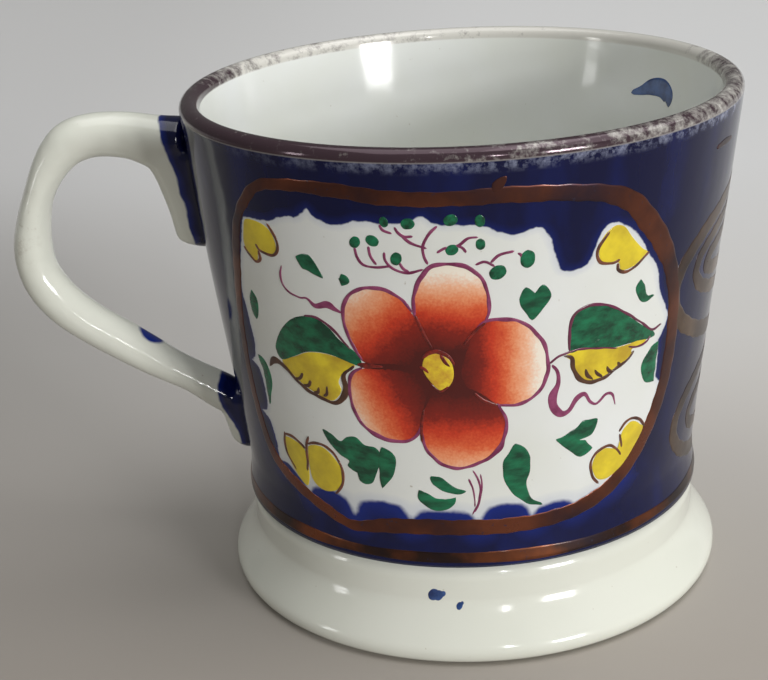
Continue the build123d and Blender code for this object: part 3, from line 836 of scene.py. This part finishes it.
def handle_glaze(form, finish):
    """Cream glaze on the handle, lumpier than the pot's, with the wall's cobalt brushed over
    its ends: the blue stops a few millimetres from the wall, along a wavering line. The
    outer edge, where hands rub it, is stained brown."""
    material, tree, shader, place = start_material(
        "cream_glaze_blue_ends", Roughness=0.12)
    split = add_node(tree, "ShaderNodeSeparateXYZ", inputs={"Vector": place})
    flat = add_node(tree, "ShaderNodeCombineXYZ", inputs={
        "X": split.outputs["X"], "Y": split.outputs["Y"]})
    axis_gap = add_node(tree, "ShaderNodeVectorMath", {"operation": "LENGTH"}, {
        0: flat.outputs["Vector"]})
    wall = add_node(tree, "ShaderNodeMapRange", inputs={
        "Value": split.outputs["Z"], "From Min": form.waist_height * MM,
        "From Max": HEIGHT * MM, "To Min": form.waist * MM, "To Max": RIM_RADIUS * MM})
    gap = add_node(tree, "ShaderNodeMath", {"operation": "SUBTRACT"}, {
        0: axis_gap.outputs["Value"], 1: wall.outputs["Result"]})
    wobble = add_node(tree, "ShaderNodeTexNoise", inputs={
        "Vector": place, "Scale": per(4.0), "Detail": 2.0})
    share = add_node(tree, "ShaderNodeMath", {"operation": "MULTIPLY"}, {
        0: split.outputs["Z"], 1: per(100)})
    reach = add_node(tree, "ShaderNodeValToRGB", inputs={"Fac": share.outputs[0]}, stops=[
        (z / 100, (mm / 10, mm / 10, mm / 10, 1)) for z, mm in
        ((21, 0.0), (26, 0.6), (31, 2.4), (42, 0.2), (58, 0.2), (68, 0.5), (73, 0.8), (78, 2.0))])
    kept = add_node(tree, "ShaderNodeMath", {"operation": "MULTIPLY_ADD"}, {
        0: reach.outputs["Color"], 1: -10 * MM, 2: gap.outputs[0]})
    edge_place = add_node(tree, "ShaderNodeMath", {"operation": "MULTIPLY_ADD"}, {
        0: wobble.outputs["Fac"], 1: -1.6 * MM, 2: kept.outputs[0]})
    bare = add_node(tree, "ShaderNodeMapRange", {"interpolation_type": "SMOOTHSTEP"}, {
        "Value": edge_place.outputs[0], "From Min": 0.6 * MM, "From Max": 1.1 * MM})
    edge = add_node(tree, "ShaderNodeMapRange", inputs={
        "Value": edge_place.outputs[0], "From Min": -0.6 * MM, "From Max": 0.9 * MM,
        "To Max": 0.8})
    painted = add_node(tree, "ShaderNodeMix", {"data_type": "RGBA"}, {
        "Factor": bare.outputs["Result"],
        "A": cobalt_colour(tree, place, finish, edge.outputs["Result"]),
        "B": flecked_white(tree, place, finish.white)})
    from_dab = add_node(tree, "ShaderNodeVectorMath", {"operation": "DISTANCE"}, {
        0: place, 1: HANDLE_DAB})
    rough_dab = add_node(tree, "ShaderNodeMath", {"operation": "MULTIPLY_ADD"}, {
        0: wobble.outputs["Fac"], 1: 2.0 * MM, 2: from_dab.outputs["Value"]})
    off_dab = add_node(tree, "ShaderNodeMapRange", inputs={
        "Value": rough_dab.outputs[0], "From Min": 3.0 * MM, "From Max": 3.7 * MM})
    painted = add_node(tree, "ShaderNodeMix", {"data_type": "RGBA"}, {
        "Factor": off_dab.outputs["Result"], "A": finish.cobalt_thin,
        "B": painted.outputs["Result"]})
    outward = add_node(tree, "ShaderNodeMapRange", inputs={
        "Value": split.outputs["X"], "From Min": -71.5 * MM, "From Max": -76.5 * MM})
    upward = add_node(tree, "ShaderNodeMapRange", inputs={
        "Value": split.outputs["Z"], "From Min": 56 * MM, "From Max": 64 * MM})
    crazed = add_node(tree, "ShaderNodeTexNoise", inputs={
        "Vector": place, "Scale": per(2.2), "Detail": 5.0, "Roughness": 0.7})
    dirt = add_node(tree, "ShaderNodeMapRange", inputs={
        "Value": crazed.outputs["Fac"], "From Min": 0.52, "From Max": 0.66, "To Max": 0.55})
    on_edge = add_node(tree, "ShaderNodeMath", {"operation": "MULTIPLY"}, {
        0: outward.outputs["Result"], 1: upward.outputs["Result"]})
    stain = add_node(tree, "ShaderNodeMath", {"operation": "MULTIPLY"}, {
        0: on_edge.outputs[0], 1: dirt.outputs["Result"]})
    stained = add_node(tree, "ShaderNodeMix", {"data_type": "RGBA"}, {
        "Factor": stain.outputs[0], "A": painted.outputs["Result"], "B": linear("#7a6446")})
    tree.links.new(stained.outputs["Result"], shader.inputs["Base Color"])
    glaze_skin(tree, shader, place, 3.2, 0.35)
    return material


def copper_lustre(name, finish, main, dark, bright):
    """Copper lustre: a metal film thinner than a hair, so it goes from purple to orange with
    its thickness, shines unevenly, and is rubbed through to the cobalt in places."""
    material, tree, shader, place = start_material(name, Coat_Weight=0.2, Coat_Roughness=0.08)
    cloud = add_node(tree, "ShaderNodeTexNoise", inputs={
        "Vector": place, "Scale": per(16), "Detail": 5.0, "Roughness": 0.55})
    film = add_node(tree, "ShaderNodeValToRGB", inputs={"Fac": cloud.outputs["Fac"]}, stops=[
        (0.36, dark), (0.5, main), (0.64, bright)])
    rub = add_node(tree, "ShaderNodeTexNoise", inputs={
        "Vector": place, "Scale": per(0.9), "Detail": 3.0, "Roughness": 0.7})
    through = add_node(tree, "ShaderNodeMapRange", inputs={
        "Value": rub.outputs["Fac"], "From Min": 0.63, "From Max": 0.72, "To Max": 0.8})
    colour = add_node(tree, "ShaderNodeMix", {"data_type": "RGBA"}, {
        "Factor": through.outputs["Result"], "A": film.outputs["Color"], "B": finish.cobalt})
    metal = add_node(tree, "ShaderNodeMapRange", inputs={
        "Value": through.outputs["Result"], "To Min": 0.85, "To Max": 0.0})
    rough = add_node(tree, "ShaderNodeMapRange", inputs={
        "Value": cloud.outputs["Fac"], "From Min": 0.3, "From Max": 0.7, "To Min": 0.42,
        "To Max": 0.26})
    tree.links.new(colour.outputs["Result"], shader.inputs["Base Color"])
    tree.links.new(metal.outputs["Result"], shader.inputs["Metallic"])
    tree.links.new(rough.outputs["Result"], shader.inputs["Roughness"])
    return material


def petal_enamel(finish):
    """Iron-red enamel, dark and thick at the flower's heart and wiped thin towards the edge,
    where the white glaze shows; stippled by the brush every third of a millimetre."""
    material, tree, shader, place = start_material("iron_red_enamel", Roughness=0.28)
    fade = add_node(tree, "ShaderNodeAttribute", {"attribute_name": "fade"})
    cloud = add_node(tree, "ShaderNodeTexNoise", inputs={
        "Vector": place, "Scale": per(3.0), "Detail": 2.0})
    stipple = add_node(tree, "ShaderNodeTexNoise", inputs={
        "Vector": place, "Scale": per(0.4), "Detail": 2.0})
    spread = add_node(tree, "ShaderNodeMath", {"operation": "MULTIPLY_ADD"}, {
        0: cloud.outputs["Fac"], 1: 2.4, 2: fade.outputs["Fac"]})
    grain = add_node(tree, "ShaderNodeMath", {"operation": "MULTIPLY_ADD"}, {
        0: stipple.outputs["Fac"], 1: 2.8, 2: spread.outputs[0]})
    share = add_node(tree, "ShaderNodeMapRange", inputs={
        "Value": grain.outputs[0], "From Min": 2.6, "From Max": 20.5})
    ramp = add_node(tree, "ShaderNodeValToRGB", inputs={"Fac": share.outputs["Result"]}, stops=[
        (0.20, finish.maroon), (0.40, linear("#7e1d12")), (0.53, finish.orange),
        (0.63, linear("#d65f36")), (0.73, linear("#e58f63")), (0.84, finish.peach),
        (0.96, linear("#f0e6d6"))])
    tree.links.new(ramp.outputs["Color"], shader.inputs["Base Color"])
    return material


def brushed_enamel(name, thick, thin, size, roughness, drawn=1.0):
    """Overglaze enamel as the brush left it: pooled thick and dark in places, drawn thin and
    pale in others, over a few millimetres. Drawn is how many times longer than it is wide a
    pale streak is, along X."""
    material, tree, shader, place = start_material(
        name, Roughness=roughness, Coat_Weight=0.2, Coat_Roughness=0.1)
    streaks = add_node(tree, "ShaderNodeMapping", inputs={
        "Vector": place, "Scale": (1 / drawn, 1.0, 1.0)})
    cloud = add_node(tree, "ShaderNodeTexNoise", inputs={
        "Vector": streaks.outputs["Vector"], "Scale": per(size), "Detail": 4.0,
        "Roughness": 0.6})
    ramp = add_node(tree, "ShaderNodeValToRGB", inputs={"Fac": cloud.outputs["Fac"]}, stops=[
        (0.36, thick), (0.66, thin)])
    tree.links.new(ramp.outputs["Color"], shader.inputs["Base Color"])
    return material


# ---------------------------------------------------------------- operators

PANELS = (("front", -93), ("back", 93))


def paint_panels(form, name, material, draw):
    """One object per panel, from the shells that draw gives for a surface."""
    for side, degrees in PANELS:
        build(f"{side}_{name}", draw(Surface(form, degrees)), material)


class MUG_OT_wall(bpy.types.Operator):
    """Thrown wall with its lip and painted ground"""
    bl_idname = "mug.wall"
    bl_label = "Wall"
    bl_options = {"REGISTER", "UNDO"}

    def execute(self, context):
        form, finish = form_in_mm(context.scene), context.scene.mug_finish
        lip_height = HEIGHT - form.wall / 2
        outside = np.linspace(JOINT_HEIGHT, lip_height, 112)
        arc = np.linspace(0, np.pi, 17)[1:-1]
        inside = np.linspace(lip_height, JOINT_HEIGHT, 60)
        z = np.concatenate([outside, lip_height + form.wall / 2 * np.sin(arc), inside])
        bead = wall_radius(form, inside) - wall_radius(form, np.maximum(inside,
                                                                         form.waist_height))
        lift = np.concatenate([np.zeros(len(outside)), form.wall / 2 * (np.cos(arc) - 1),
                               -wall_depth(form, inside) - bead])
        azimuth = np.linspace(0, 2 * np.pi, 448, endpoint=False)
        points = outer_point(form, azimuth[None, :], z[:, None] + 0 * azimuth[None, :],
                             lift[:, None])
        reserve = np.full(points.shape[:2], 5.0)
        outline = np.vstack([smooth_curve(run) for run in PANEL_RUNS])
        ground = np.full((len(outside), len(azimuth)), -5.0)
        for side, degrees in PANELS:
            turn = (azimuth - math.radians(degrees) + np.pi) % (2 * np.pi) - np.pi
            across, height = np.meshgrid(turn * LAYOUT_RADIUS, outside)
            near = np.abs(across) < 44
            places = np.stack([across[near], height[near]], -1)
            ground[near] = np.maximum(ground[near], distance_to_outline(places, outline))
        reserve[:len(outside)] = ground
        build("glazed_wall", [shell(points, ring=True, reserve=reserve)],
              painted_wall(form, finish), ["cup_wall"])
        return {"FINISHED"}


class MUG_OT_floor(bpy.types.Operator):
    """Glazed floor of the bowl, coved up to the wall"""
    bl_idname = "mug.floor"
    bl_label = "Floor"
    bl_options = {"REGISTER", "UNDO"}

    def execute(self, context):
        form, finish = form_in_mm(context.scene), context.scene.mug_finish
        low, high = FLOOR_LOW[2] / MM, FLOOR_HIGH[2] / MM
        top = low + form.floor
        flat = np.linspace(0.5, FLOOR_RADIUS - form.cove, 24)
        arc = np.linspace(0, np.pi / 2, 14)[1:]
        radius = np.concatenate([flat, FLOOR_RADIUS - form.cove * (1 - np.sin(arc)),
                                 [FLOOR_RADIUS], flat[::-1]])
        z = np.concatenate([np.full(len(flat), top), top + (high - top) * (1 - np.cos(arc)),
                            [low], np.full(len(flat), low)])
        azimuth = np.linspace(0, 2 * np.pi, 160, endpoint=False)
        points = np.stack([radius[:, None] * np.cos(azimuth), radius[:, None] * np.sin(azimuth),
                           z[:, None] + 0 * azimuth], -1)
        build("bowl_floor", [shell(points)], plain_glaze(finish), ["cup_floor"])
        return {"FINISHED"}


class MUG_OT_foot(bpy.types.Operator):
    """Hollow spreading foot, white, with a rolled edge"""
    bl_idname = "mug.foot"
    bl_label = "Foot"
    bl_options = {"REGISTER", "UNDO"}

    def execute(self, context):
        form, finish = form_in_mm(context.scene), context.scene.mug_finish
        outline = foot_profile(form)
        azimuth = np.linspace(0, 2 * np.pi, 320, endpoint=False)
        radius = outline[:, :1] + 0 * azimuth
        points = np.stack([radius * np.cos(azimuth), radius * np.sin(azimuth),
                           outline[:, 1:] + 0 * azimuth], -1)
        build("glazed_foot", [shell(points, ring=True)], plain_glaze(finish),
              ["foot"])
        return {"FINISHED"}


def limb(points):
    """Limb of clay in the plane of the handle. Its section is half an ellipse on each side of
    the line, and the ends close as a round cap: the square root of 1 - (1 - t)^2."""
    curve = smooth_curve(points, steps=10)
    path, outer, inner, width = curve[:, :2], curve[:, 2], curve[:, 3], curve[:, 4]
    travelled, sideways = along(path, False)
    left = np.minimum(travelled, travelled[-1] - travelled)
    cap = np.sqrt(1 - (1 - np.clip(left / 3.0, 0.004, 1)) ** 2)
    angle = np.linspace(0, 2 * np.pi, 40, endpoint=False)
    reach = np.where(np.cos(angle) > 0, outer[:, None], inner[:, None]) * np.cos(angle)
    reach = reach * cap[:, None]
    across = (width * cap)[:, None] / 2 * np.sin(angle)
    x = -(path[:, :1] + sideways[:, :1] * reach)
    z = path[:, 1:] + sideways[:, 1:] * reach
    return shell(np.stack([x, across, z], -1))


class MUG_OT_handle(bpy.types.Operator):
    """Looped handle with a tail of clay pressed down the wall under each joint"""
    bl_idname = "mug.handle"
    bl_label = "Handle"
    bl_options = {"REGISTER", "UNDO"}

    def execute(self, context):
        form, finish = form_in_mm(context.scene), context.scene.mug_finish
        piece = build("loop_handle", [limb(ROD), limb(UPPER_TAIL), limb(LOWER_TAIL)],
                      handle_glaze(form, finish),
                      ["handle", "upper_handle_tail", "lower_handle_tail"])
        fuse = piece.modifiers.new("fuse", "REMESH")
        fuse.mode, fuse.voxel_size, fuse.use_smooth_shade = "VOXEL", 0.42 * MM, True
        soften = piece.modifiers.new("soften", "SMOOTH")
        soften.factor, soften.iterations = 0.5, 14
        return {"FINISHED"}


class MUG_OT_flower(bpy.types.Operator):
    """Red petals, their purple lines, and the yellow heart"""
    bl_idname = "mug.flower"
    bl_label = "Flower"
    bl_options = {"REGISTER", "UNDO"}

    def execute(self, context):
        form, finish = form_in_mm(context.scene), context.scene.mug_finish
        rise = form.paint

        def petals(surface):
            middle = [patch(surface, FLOWER_MIDDLE, 0.6 * rise, axis=(FLOWER_HEART, (0, 1)))]
            return middle + [
                patch(surface, outline, rise * (0.7 + 0.06 * k), axis=(FLOWER_HEART, axis))
                for k, (axis, outline) in enumerate(PETALS)]

        paint_panels(form, "petals", petal_enamel(finish), petals)
        lines = brushed_enamel("gold_purple_enamel", finish.purple, linear("#93466c"), 2.0, 0.3)
        paint_panels(form, "petal_lines", lines, lambda surface: [
            stroke(surface, line, 1.5 * rise, shake=0.05) for line in PETAL_LINES])
        heart = brushed_enamel("antimony_yellow_heart", linear("#c99a2e"), finish.yellow, 1.6, 0.3)
        paint_panels(form, "flower_heart", heart, lambda surface: [
            patch(surface, HEART, 1.8 * rise)])
        ticks = brushed_enamel("dark_red_ticks", finish.maroon, linear("#8a241a"), 1.0, 0.3)
        paint_panels(form, "heart_ticks", ticks, lambda surface: [
            stroke(surface, line, 2.3 * rise) for line in HEART_TICKS + PETAL_SEAMS])
        return {"FINISHED"}


class MUG_OT_leaves(bpy.types.Operator):
    """Two half-green, half-yellow leaves and the small green ones"""
    bl_idname = "mug.leaves"
    bl_label = "Leaves"
    bl_options = {"REGISTER", "UNDO"}

    def execute(self, context):
        form, finish = form_in_mm(context.scene), context.scene.mug_finish
        rise = form.paint
        green = brushed_enamel("copper_green_enamel", linear("#063c28"), finish.green, 1.7,
                               0.2, drawn=3.5)
        paint_panels(form, "leaf_greens", green, lambda surface: [
            patch(surface, outline, rise) for outline in GREEN_HALVES])
        yellow = brushed_enamel("antimony_yellow_leaves", linear("#b99a26"), finish.yellow, 6.0,
                                0.3)
        paint_panels(form, "leaf_yellows", yellow, lambda surface: [
            patch(surface, outline, 0.8 * rise) for outline in YELLOW_HALVES])
        edges = brushed_enamel("manganese_leaf_edges", finish.brown, linear("#5a3a26"), 2.0, 0.3)
        paint_panels(form, "leaf_edges", edges, lambda surface: [
            stroke(surface, line, 1.9 * rise, shake=0.06) for line in LEAF_EDGES])
        lines = brushed_enamel("manganese_leaf_lines", linear("#5b2a3a"), finish.purple, 2.0, 0.3)
        paint_panels(form, "leaf_lines", lines, lambda surface: [
            stroke(surface, line, 1.7 * rise, shake=0.04) for line in LEAF_LINES])
        paint_panels(form, "small_leaves", green, lambda surface: [
            stroke(surface, line, 1.2 * rise, shake=0.06) for line in SMALL_LEAVES] + [
            patch(surface, LEAF_CLUMP, rise)])
        return {"FINISHED"}


class MUG_OT_buds(bpy.types.Operator):
    """Yellow buds in the corners of the panels"""
    bl_idname = "mug.buds"
    bl_label = "Buds"
    bl_options = {"REGISTER", "UNDO"}

    def execute(self, context):
        form, finish = form_in_mm(context.scene), context.scene.mug_finish
        yellow = brushed_enamel("antimony_yellow_buds", linear("#c6ad28"), finish.yellow, 6.0, 0.3)
        paint_panels(form, "buds", yellow, lambda surface: [
            patch(surface, outline, form.paint * (1 + 0.05 * k))
            for k, outline in enumerate(BUDS)])
        brown = brushed_enamel("manganese_brown_enamel", finish.brown, linear("#7a4630"), 2.0, 0.3)
        paint_panels(form, "bud_lines", brown, lambda surface: [
            stroke(surface, [(a, b, .5) for a, b in line], 1.7 * form.paint, shake=0.04)
            for line in BUD_LINES])
        return {"FINISHED"}


class MUG_OT_sprays(bpy.types.Operator):
    """Berries on their stalks, tendrils and reeds"""
    bl_idname = "mug.sprays"
    bl_label = "Sprays"
    bl_options = {"REGISTER", "UNDO"}

    def execute(self, context):
        form, finish = form_in_mm(context.scene), context.scene.mug_finish
        purple = brushed_enamel("gold_purple_sprays", finish.purple, linear("#93466c"), 2.0, 0.3)
        green = brushed_enamel("copper_green_berries", linear("#053824"), finish.green, 1.2, 0.2)
        paint_panels(form, "berries", green, lambda surface: [
            dot(surface, *berry, 1.4 * form.paint) for berry in BERRIES])
        paint_panels(form, "stalks", purple, lambda surface: [
            stroke(surface, [(a, b, .42) for a, b in line], form.paint, shake=0.03)
            for line in STALKS])
        paint_panels(form, "tendrils", purple, lambda surface: [
            stroke(surface, line, form.paint, shake=0.04) for line in TENDRILS])
        return {"FINISHED"}


def hoop(form, z, width, rise, wander):
    """Band painted on the turning pot: a lens section carried once round the wall, whose
    height wanders by two slow waves."""
    azimuth = np.linspace(0, 2 * np.pi, 320, endpoint=False)[:, None]
    under = slice(-3, 0, -2)
    reach = np.concatenate([RIBBON, RIBBON[under]])
    lift = np.concatenate([rise * np.sqrt(np.sqrt(1 - RIBBON**2)), np.full(3, 0)]) \
        - SINK * (np.abs(reach) == 1)
    lift[len(RIBBON):] = -SINK
    level = z + wander * (np.sin(3 * azimuth + 1) + 0.6 * np.sin(7 * azimuth))
    breadth = width / 2 * (1 + 0.12 * np.sin(5 * azimuth + 2) + 0.08 * np.sin(13 * azimuth))
    height = level + breadth * reach
    return shell(outer_point(form, azimuth, height, lift), ring=True)


class MUG_OT_lustre(bpy.types.Operator):
    """Copper lustre frames round the panels, ovals at the side and a band at the foot"""
    bl_idname = "mug.lustre"
    bl_label = "Lustre"
    bl_options = {"REGISTER", "UNDO"}

    def execute(self, context):
        form, finish = form_in_mm(context.scene), context.scene.mug_finish
        copper = copper_lustre("copper_lustre_film", finish, finish.copper, linear("#3a2830"),
                               linear("#7d4630"))
        paint_panels(form, "lustre_frame", copper, lambda surface: [
            stroke(surface, FRAME_PATH, 0.9 * form.paint, closed=True, shake=0.07)] + [
            stroke(surface, line, 0.9 * form.paint) for line in LUSTRE_TOUCHES])
        brown = copper_lustre("brown_lustre_film", finish, linear("#57453a"), linear("#3a2d2c"),
                              linear("#76604c"))
        turn = np.linspace(0, 2 * np.pi, 24, endpoint=False)
        side = Surface(form, 0)
        build("side_ovals", [
            stroke(side, np.stack([across * np.cos(turn), middle + up * np.sin(turn),
                                   width + 0 * turn], -1), 0.7 * form.paint, closed=True,
                   shake=0.08) for across, middle, up, width in OVALS], brown)
        dark = copper_lustre("dark_copper_lustre_film", finish, linear("#38251f"),
                             linear("#241c25"), linear("#7a4429"))
        build("foot_band", [hoop(form, 17.8, 1.8, 0.8 * form.paint, 0.08)], dark)
        return {"FINISHED"}


def inner_point(form, azimuth, z, lift):
    """Place on the inside of the wall, raised by lift towards the axis."""
    return outer_point(form, azimuth, z, -wall_depth(form, z) - lift)


class MUG_OT_splashes(bpy.types.Operator):
    """Drop of cobalt inside the lip, and specks of it on the foot"""
    bl_idname = "mug.splashes"
    bl_label = "Splashes"
    bl_options = {"REGISTER", "UNDO"}

    def execute(self, context):
        form, finish = form_in_mm(context.scene), context.scene.mug_finish
        cobalt = brushed_enamel("cobalt_splash", linear("#1b2f5e"), linear("#3a5a92"), 3.0, 0.12)
        inside = Surface(form, 32, inner_point)
        drop = [((degrees - 32) * math.pi / 180 * LAYOUT_RADIUS, z, width)
                for degrees, z, width in INNER_DROP]
        build("inner_drop", [stroke(inside, drop, form.paint)], cobalt)
        build("foot_specks", [
            dot(Surface(form, degrees, foot_point), 0, z, size / 2, form.paint)
            for degrees, z, size in FOOT_SPECKS], cobalt)
        return {"FINISHED"}


# Name, azimuth, elevation, panes across and up, size of a pane as a share of its distance, and
# watts in all.
LIGHTS = (("right_window", -50, 8, (3, 2), (0.065, 0.105), 104),
          ("left_window", -157, 6, (2, 2), (0.038, 0.100), 9.5),
          ("front_window", -76, 20, (1, 3), (0.030, 0.046), 12),
          ("right_soft", -5, 58, (1, 1), (0.92, 0.92), 68),
          ("overhead_soft", 90, 86, (1, 1), (1.0, 1.0), 87))
LIGHT_DISTANCE = 4.0
PANE_STEP = 1.3                            # pane spacing over pane size: the rest is bars
AIR_LIGHT = 0.2
FLOOR_REACH = 40                           # metres from the mug to the floor's edge
FLOOR_GAP = 0.00005                        # metres between the floor and the standing ring
CAMERA_PLACE = (0, -259.57, 142.40)
CAMERA_TURN = (-3.185, 21.541, -3.358)     # pan, downward pitch and roll, in degrees
CAMERA_LENS, CAMERA_FRAME = 74.04, 36.0    # focal length and frame width


def hang_light(name, degrees, rise, panes, size, power):
    """Soft light shaped as a window: a grid of panes that face the mug."""
    level, up = math.radians(rise), np.array([0, 0, 1.0])
    towards = np.array([math.cos(level) * math.cos(math.radians(degrees)),
                        math.cos(level) * math.sin(math.radians(degrees)), math.sin(level)])
    aside = np.cross(up, towards)
    aside = aside / np.linalg.norm(aside)
    above = np.cross(towards, aside)
    width, height = size[0] * LIGHT_DISTANCE, size[1] * LIGHT_DISTANCE
    for column in range(panes[0]):
        for row in range(panes[1]):
            lamp = bpy.data.lights.new(f"{name}_{column}_{row}", "AREA")
            lamp.shape, lamp.size, lamp.size_y = "RECTANGLE", width, height
            lamp.energy = power / (panes[0] * panes[1])
            shift = (aside * width * (column - (panes[0] - 1) / 2)
                     + above * height * (row - (panes[1] - 1) / 2)) * PANE_STEP
            spot = bpy.data.objects.new(lamp.name, lamp)
            bpy.context.scene.collection.objects.link(spot)
            spot.matrix_world = looking(towards * LIGHT_DISTANCE + up * HEIGHT * MM / 2 + shift,
                                        -towards)


def looking(place, forward, roll=0.0):
    """World matrix of a lamp or camera at place that faces forward, turned by roll about it."""
    forward = forward / np.linalg.norm(forward)
    right = np.cross(forward, [0, 0, 1])
    right = right / np.linalg.norm(right)
    up = np.cross(right, forward)
    turned_right = math.cos(roll) * right + math.sin(roll) * up
    turned_up = math.cos(roll) * up - math.sin(roll) * right
    matrix = np.eye(4)
    matrix[:3, 0], matrix[:3, 1], matrix[:3, 2], matrix[:3, 3] = \
        turned_right, turned_up, -forward, place
    return Matrix(matrix.tolist())


class MUG_OT_stage(bpy.types.Operator):
    """Pale floor, window-like soft lights and the camera"""
    bl_idname = "mug.stage"
    bl_label = "Stage"
    bl_options = {"REGISTER", "UNDO"}

    def execute(self, context):
        form, finish = form_in_mm(context.scene), context.scene.mug_finish
        floor_mesh = bpy.data.meshes.new("floor")
        floor_mesh.from_pydata(
            [(x * FLOOR_REACH, y * FLOOR_REACH, -FLOOR_GAP)
             for x, y in ((-1, -1), (1, -1), (1, 1), (-1, 1))], [], [(0, 1, 2, 3)])
        floor = bpy.data.objects.new("floor", floor_mesh)
        bpy.context.scene.collection.objects.link(floor)
        paper, tree, shader, place = start_material("pale_studio_paper", Roughness=0.8)
        split = add_node(tree, "ShaderNodeSeparateXYZ", inputs={"Vector": place})
        depth = add_node(tree, "ShaderNodeMapRange", inputs={
            "Value": split.outputs["Y"], "From Min": -0.15, "From Max": 0.25})
        shade = add_node(tree, "ShaderNodeValToRGB", inputs={"Fac": depth.outputs["Result"]},
                         stops=[(0.0, linear("#99928a")), (0.27, linear("#aea79f")),
                                (0.62, linear("#cac8c5")), (1.0, linear("#d3d3d3"))])
        # Painted shadow: on the handle's side, at negative X and close behind the mug, the floor is
        # darkened towards #5e5750, most strongly nearest the mug. The floor is also darker in front
        # and paler behind.
        aside = add_node(tree, "ShaderNodeMapRange", {"interpolation_type": "SMOOTHSTEP"}, {
            "Value": split.outputs["X"], "From Min": -0.18, "From Max": 0.03, "To Min": 0.68,
            "To Max": 0.0})
        near = add_node(tree, "ShaderNodeMapRange", {"interpolation_type": "SMOOTHSTEP"}, {
            "Value": split.outputs["Y"], "From Min": 0.06, "From Max": 0.30, "To Min": 1.0,
            "To Max": 0.3})
        shadow = add_node(tree, "ShaderNodeMath", {"operation": "MULTIPLY"}, {
            0: aside.outputs["Result"], 1: near.outputs["Result"]})
        dimmed = add_node(tree, "ShaderNodeMix", {"data_type": "RGBA"}, {
            "Factor": shadow.outputs[0], "A": shade.outputs["Color"],
            "B": linear("#5e5750")})
        tree.links.new(dimmed.outputs["Result"], shader.inputs["Base Color"])
        floor_mesh.materials.append(paper)
        for light in LIGHTS:
            hang_light(*light)
        world = bpy.data.worlds.new("studio_air")
        world.use_nodes = True
        world.node_tree.nodes["Background"].inputs["Color"].default_value = linear("#cfcfca")
        world.node_tree.nodes["Background"].inputs["Strength"].default_value = AIR_LIGHT
        bpy.context.scene.world = world
        bpy.context.scene.view_settings.view_transform = "Standard"
        lens = bpy.data.cameras.new("camera")
        lens.lens, lens.sensor_width, lens.dof.use_dof = CAMERA_LENS, CAMERA_FRAME, False
        lens.clip_start = 0.01
        camera = bpy.data.objects.new("camera", lens)
        bpy.context.scene.collection.objects.link(camera)
        pan, pitch, roll = (math.radians(angle) for angle in CAMERA_TURN)
        forward = np.array([math.sin(pan) * math.cos(pitch), math.cos(pan) * math.cos(pitch),
                            -math.sin(pitch)])
        camera.matrix_world = looking(np.array(CAMERA_PLACE) * MM, forward, roll)
        bpy.context.scene.camera = camera
        return {"FINISHED"}


STEPS = (MUG_OT_wall, MUG_OT_floor, MUG_OT_foot, MUG_OT_handle, MUG_OT_flower, MUG_OT_leaves,
         MUG_OT_buds, MUG_OT_sprays, MUG_OT_lustre, MUG_OT_splashes, MUG_OT_stage)


class MUG_PT_panel(bpy.types.Panel):
    """Sidebar tab with one button for each step"""
    bl_label = "Painted Footed Mug"
    bl_idname = "MUG_PT_panel"
    bl_space_type = "VIEW_3D"
    bl_region_type = "UI"
    bl_category = "Mug"

    def draw(self, context):
        for group in (context.scene.mug_form, context.scene.mug_finish):
            box = self.layout.box()
            for name in group.__annotations__:
                box.prop(group, name)
        for step in STEPS:
            self.layout.operator(step.bl_idname)


CLASSES = (MugForm, MugFinish) + STEPS + (MUG_PT_panel,)


def register():
    """Registers the classes and hangs the settings on the scene."""
    for one in CLASSES:
        bpy.utils.register_class(one)
    bpy.types.Scene.mug_form = bpy.props.PointerProperty(type=MugForm)
    bpy.types.Scene.mug_finish = bpy.props.PointerProperty(type=MugFinish)


def unregister():
    """Takes the settings and the classes away."""
    del bpy.types.Scene.mug_finish
    del bpy.types.Scene.mug_form
    for one in reversed(CLASSES):
        bpy.utils.unregister_class(one)


def main():
    """Builds the mug and its stage."""
    register()
    for step in STEPS:
        group, name = step.bl_idname.split(".")
        getattr(getattr(bpy.ops, group), name)()
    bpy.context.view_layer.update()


if __name__ == "__main__":
    main()
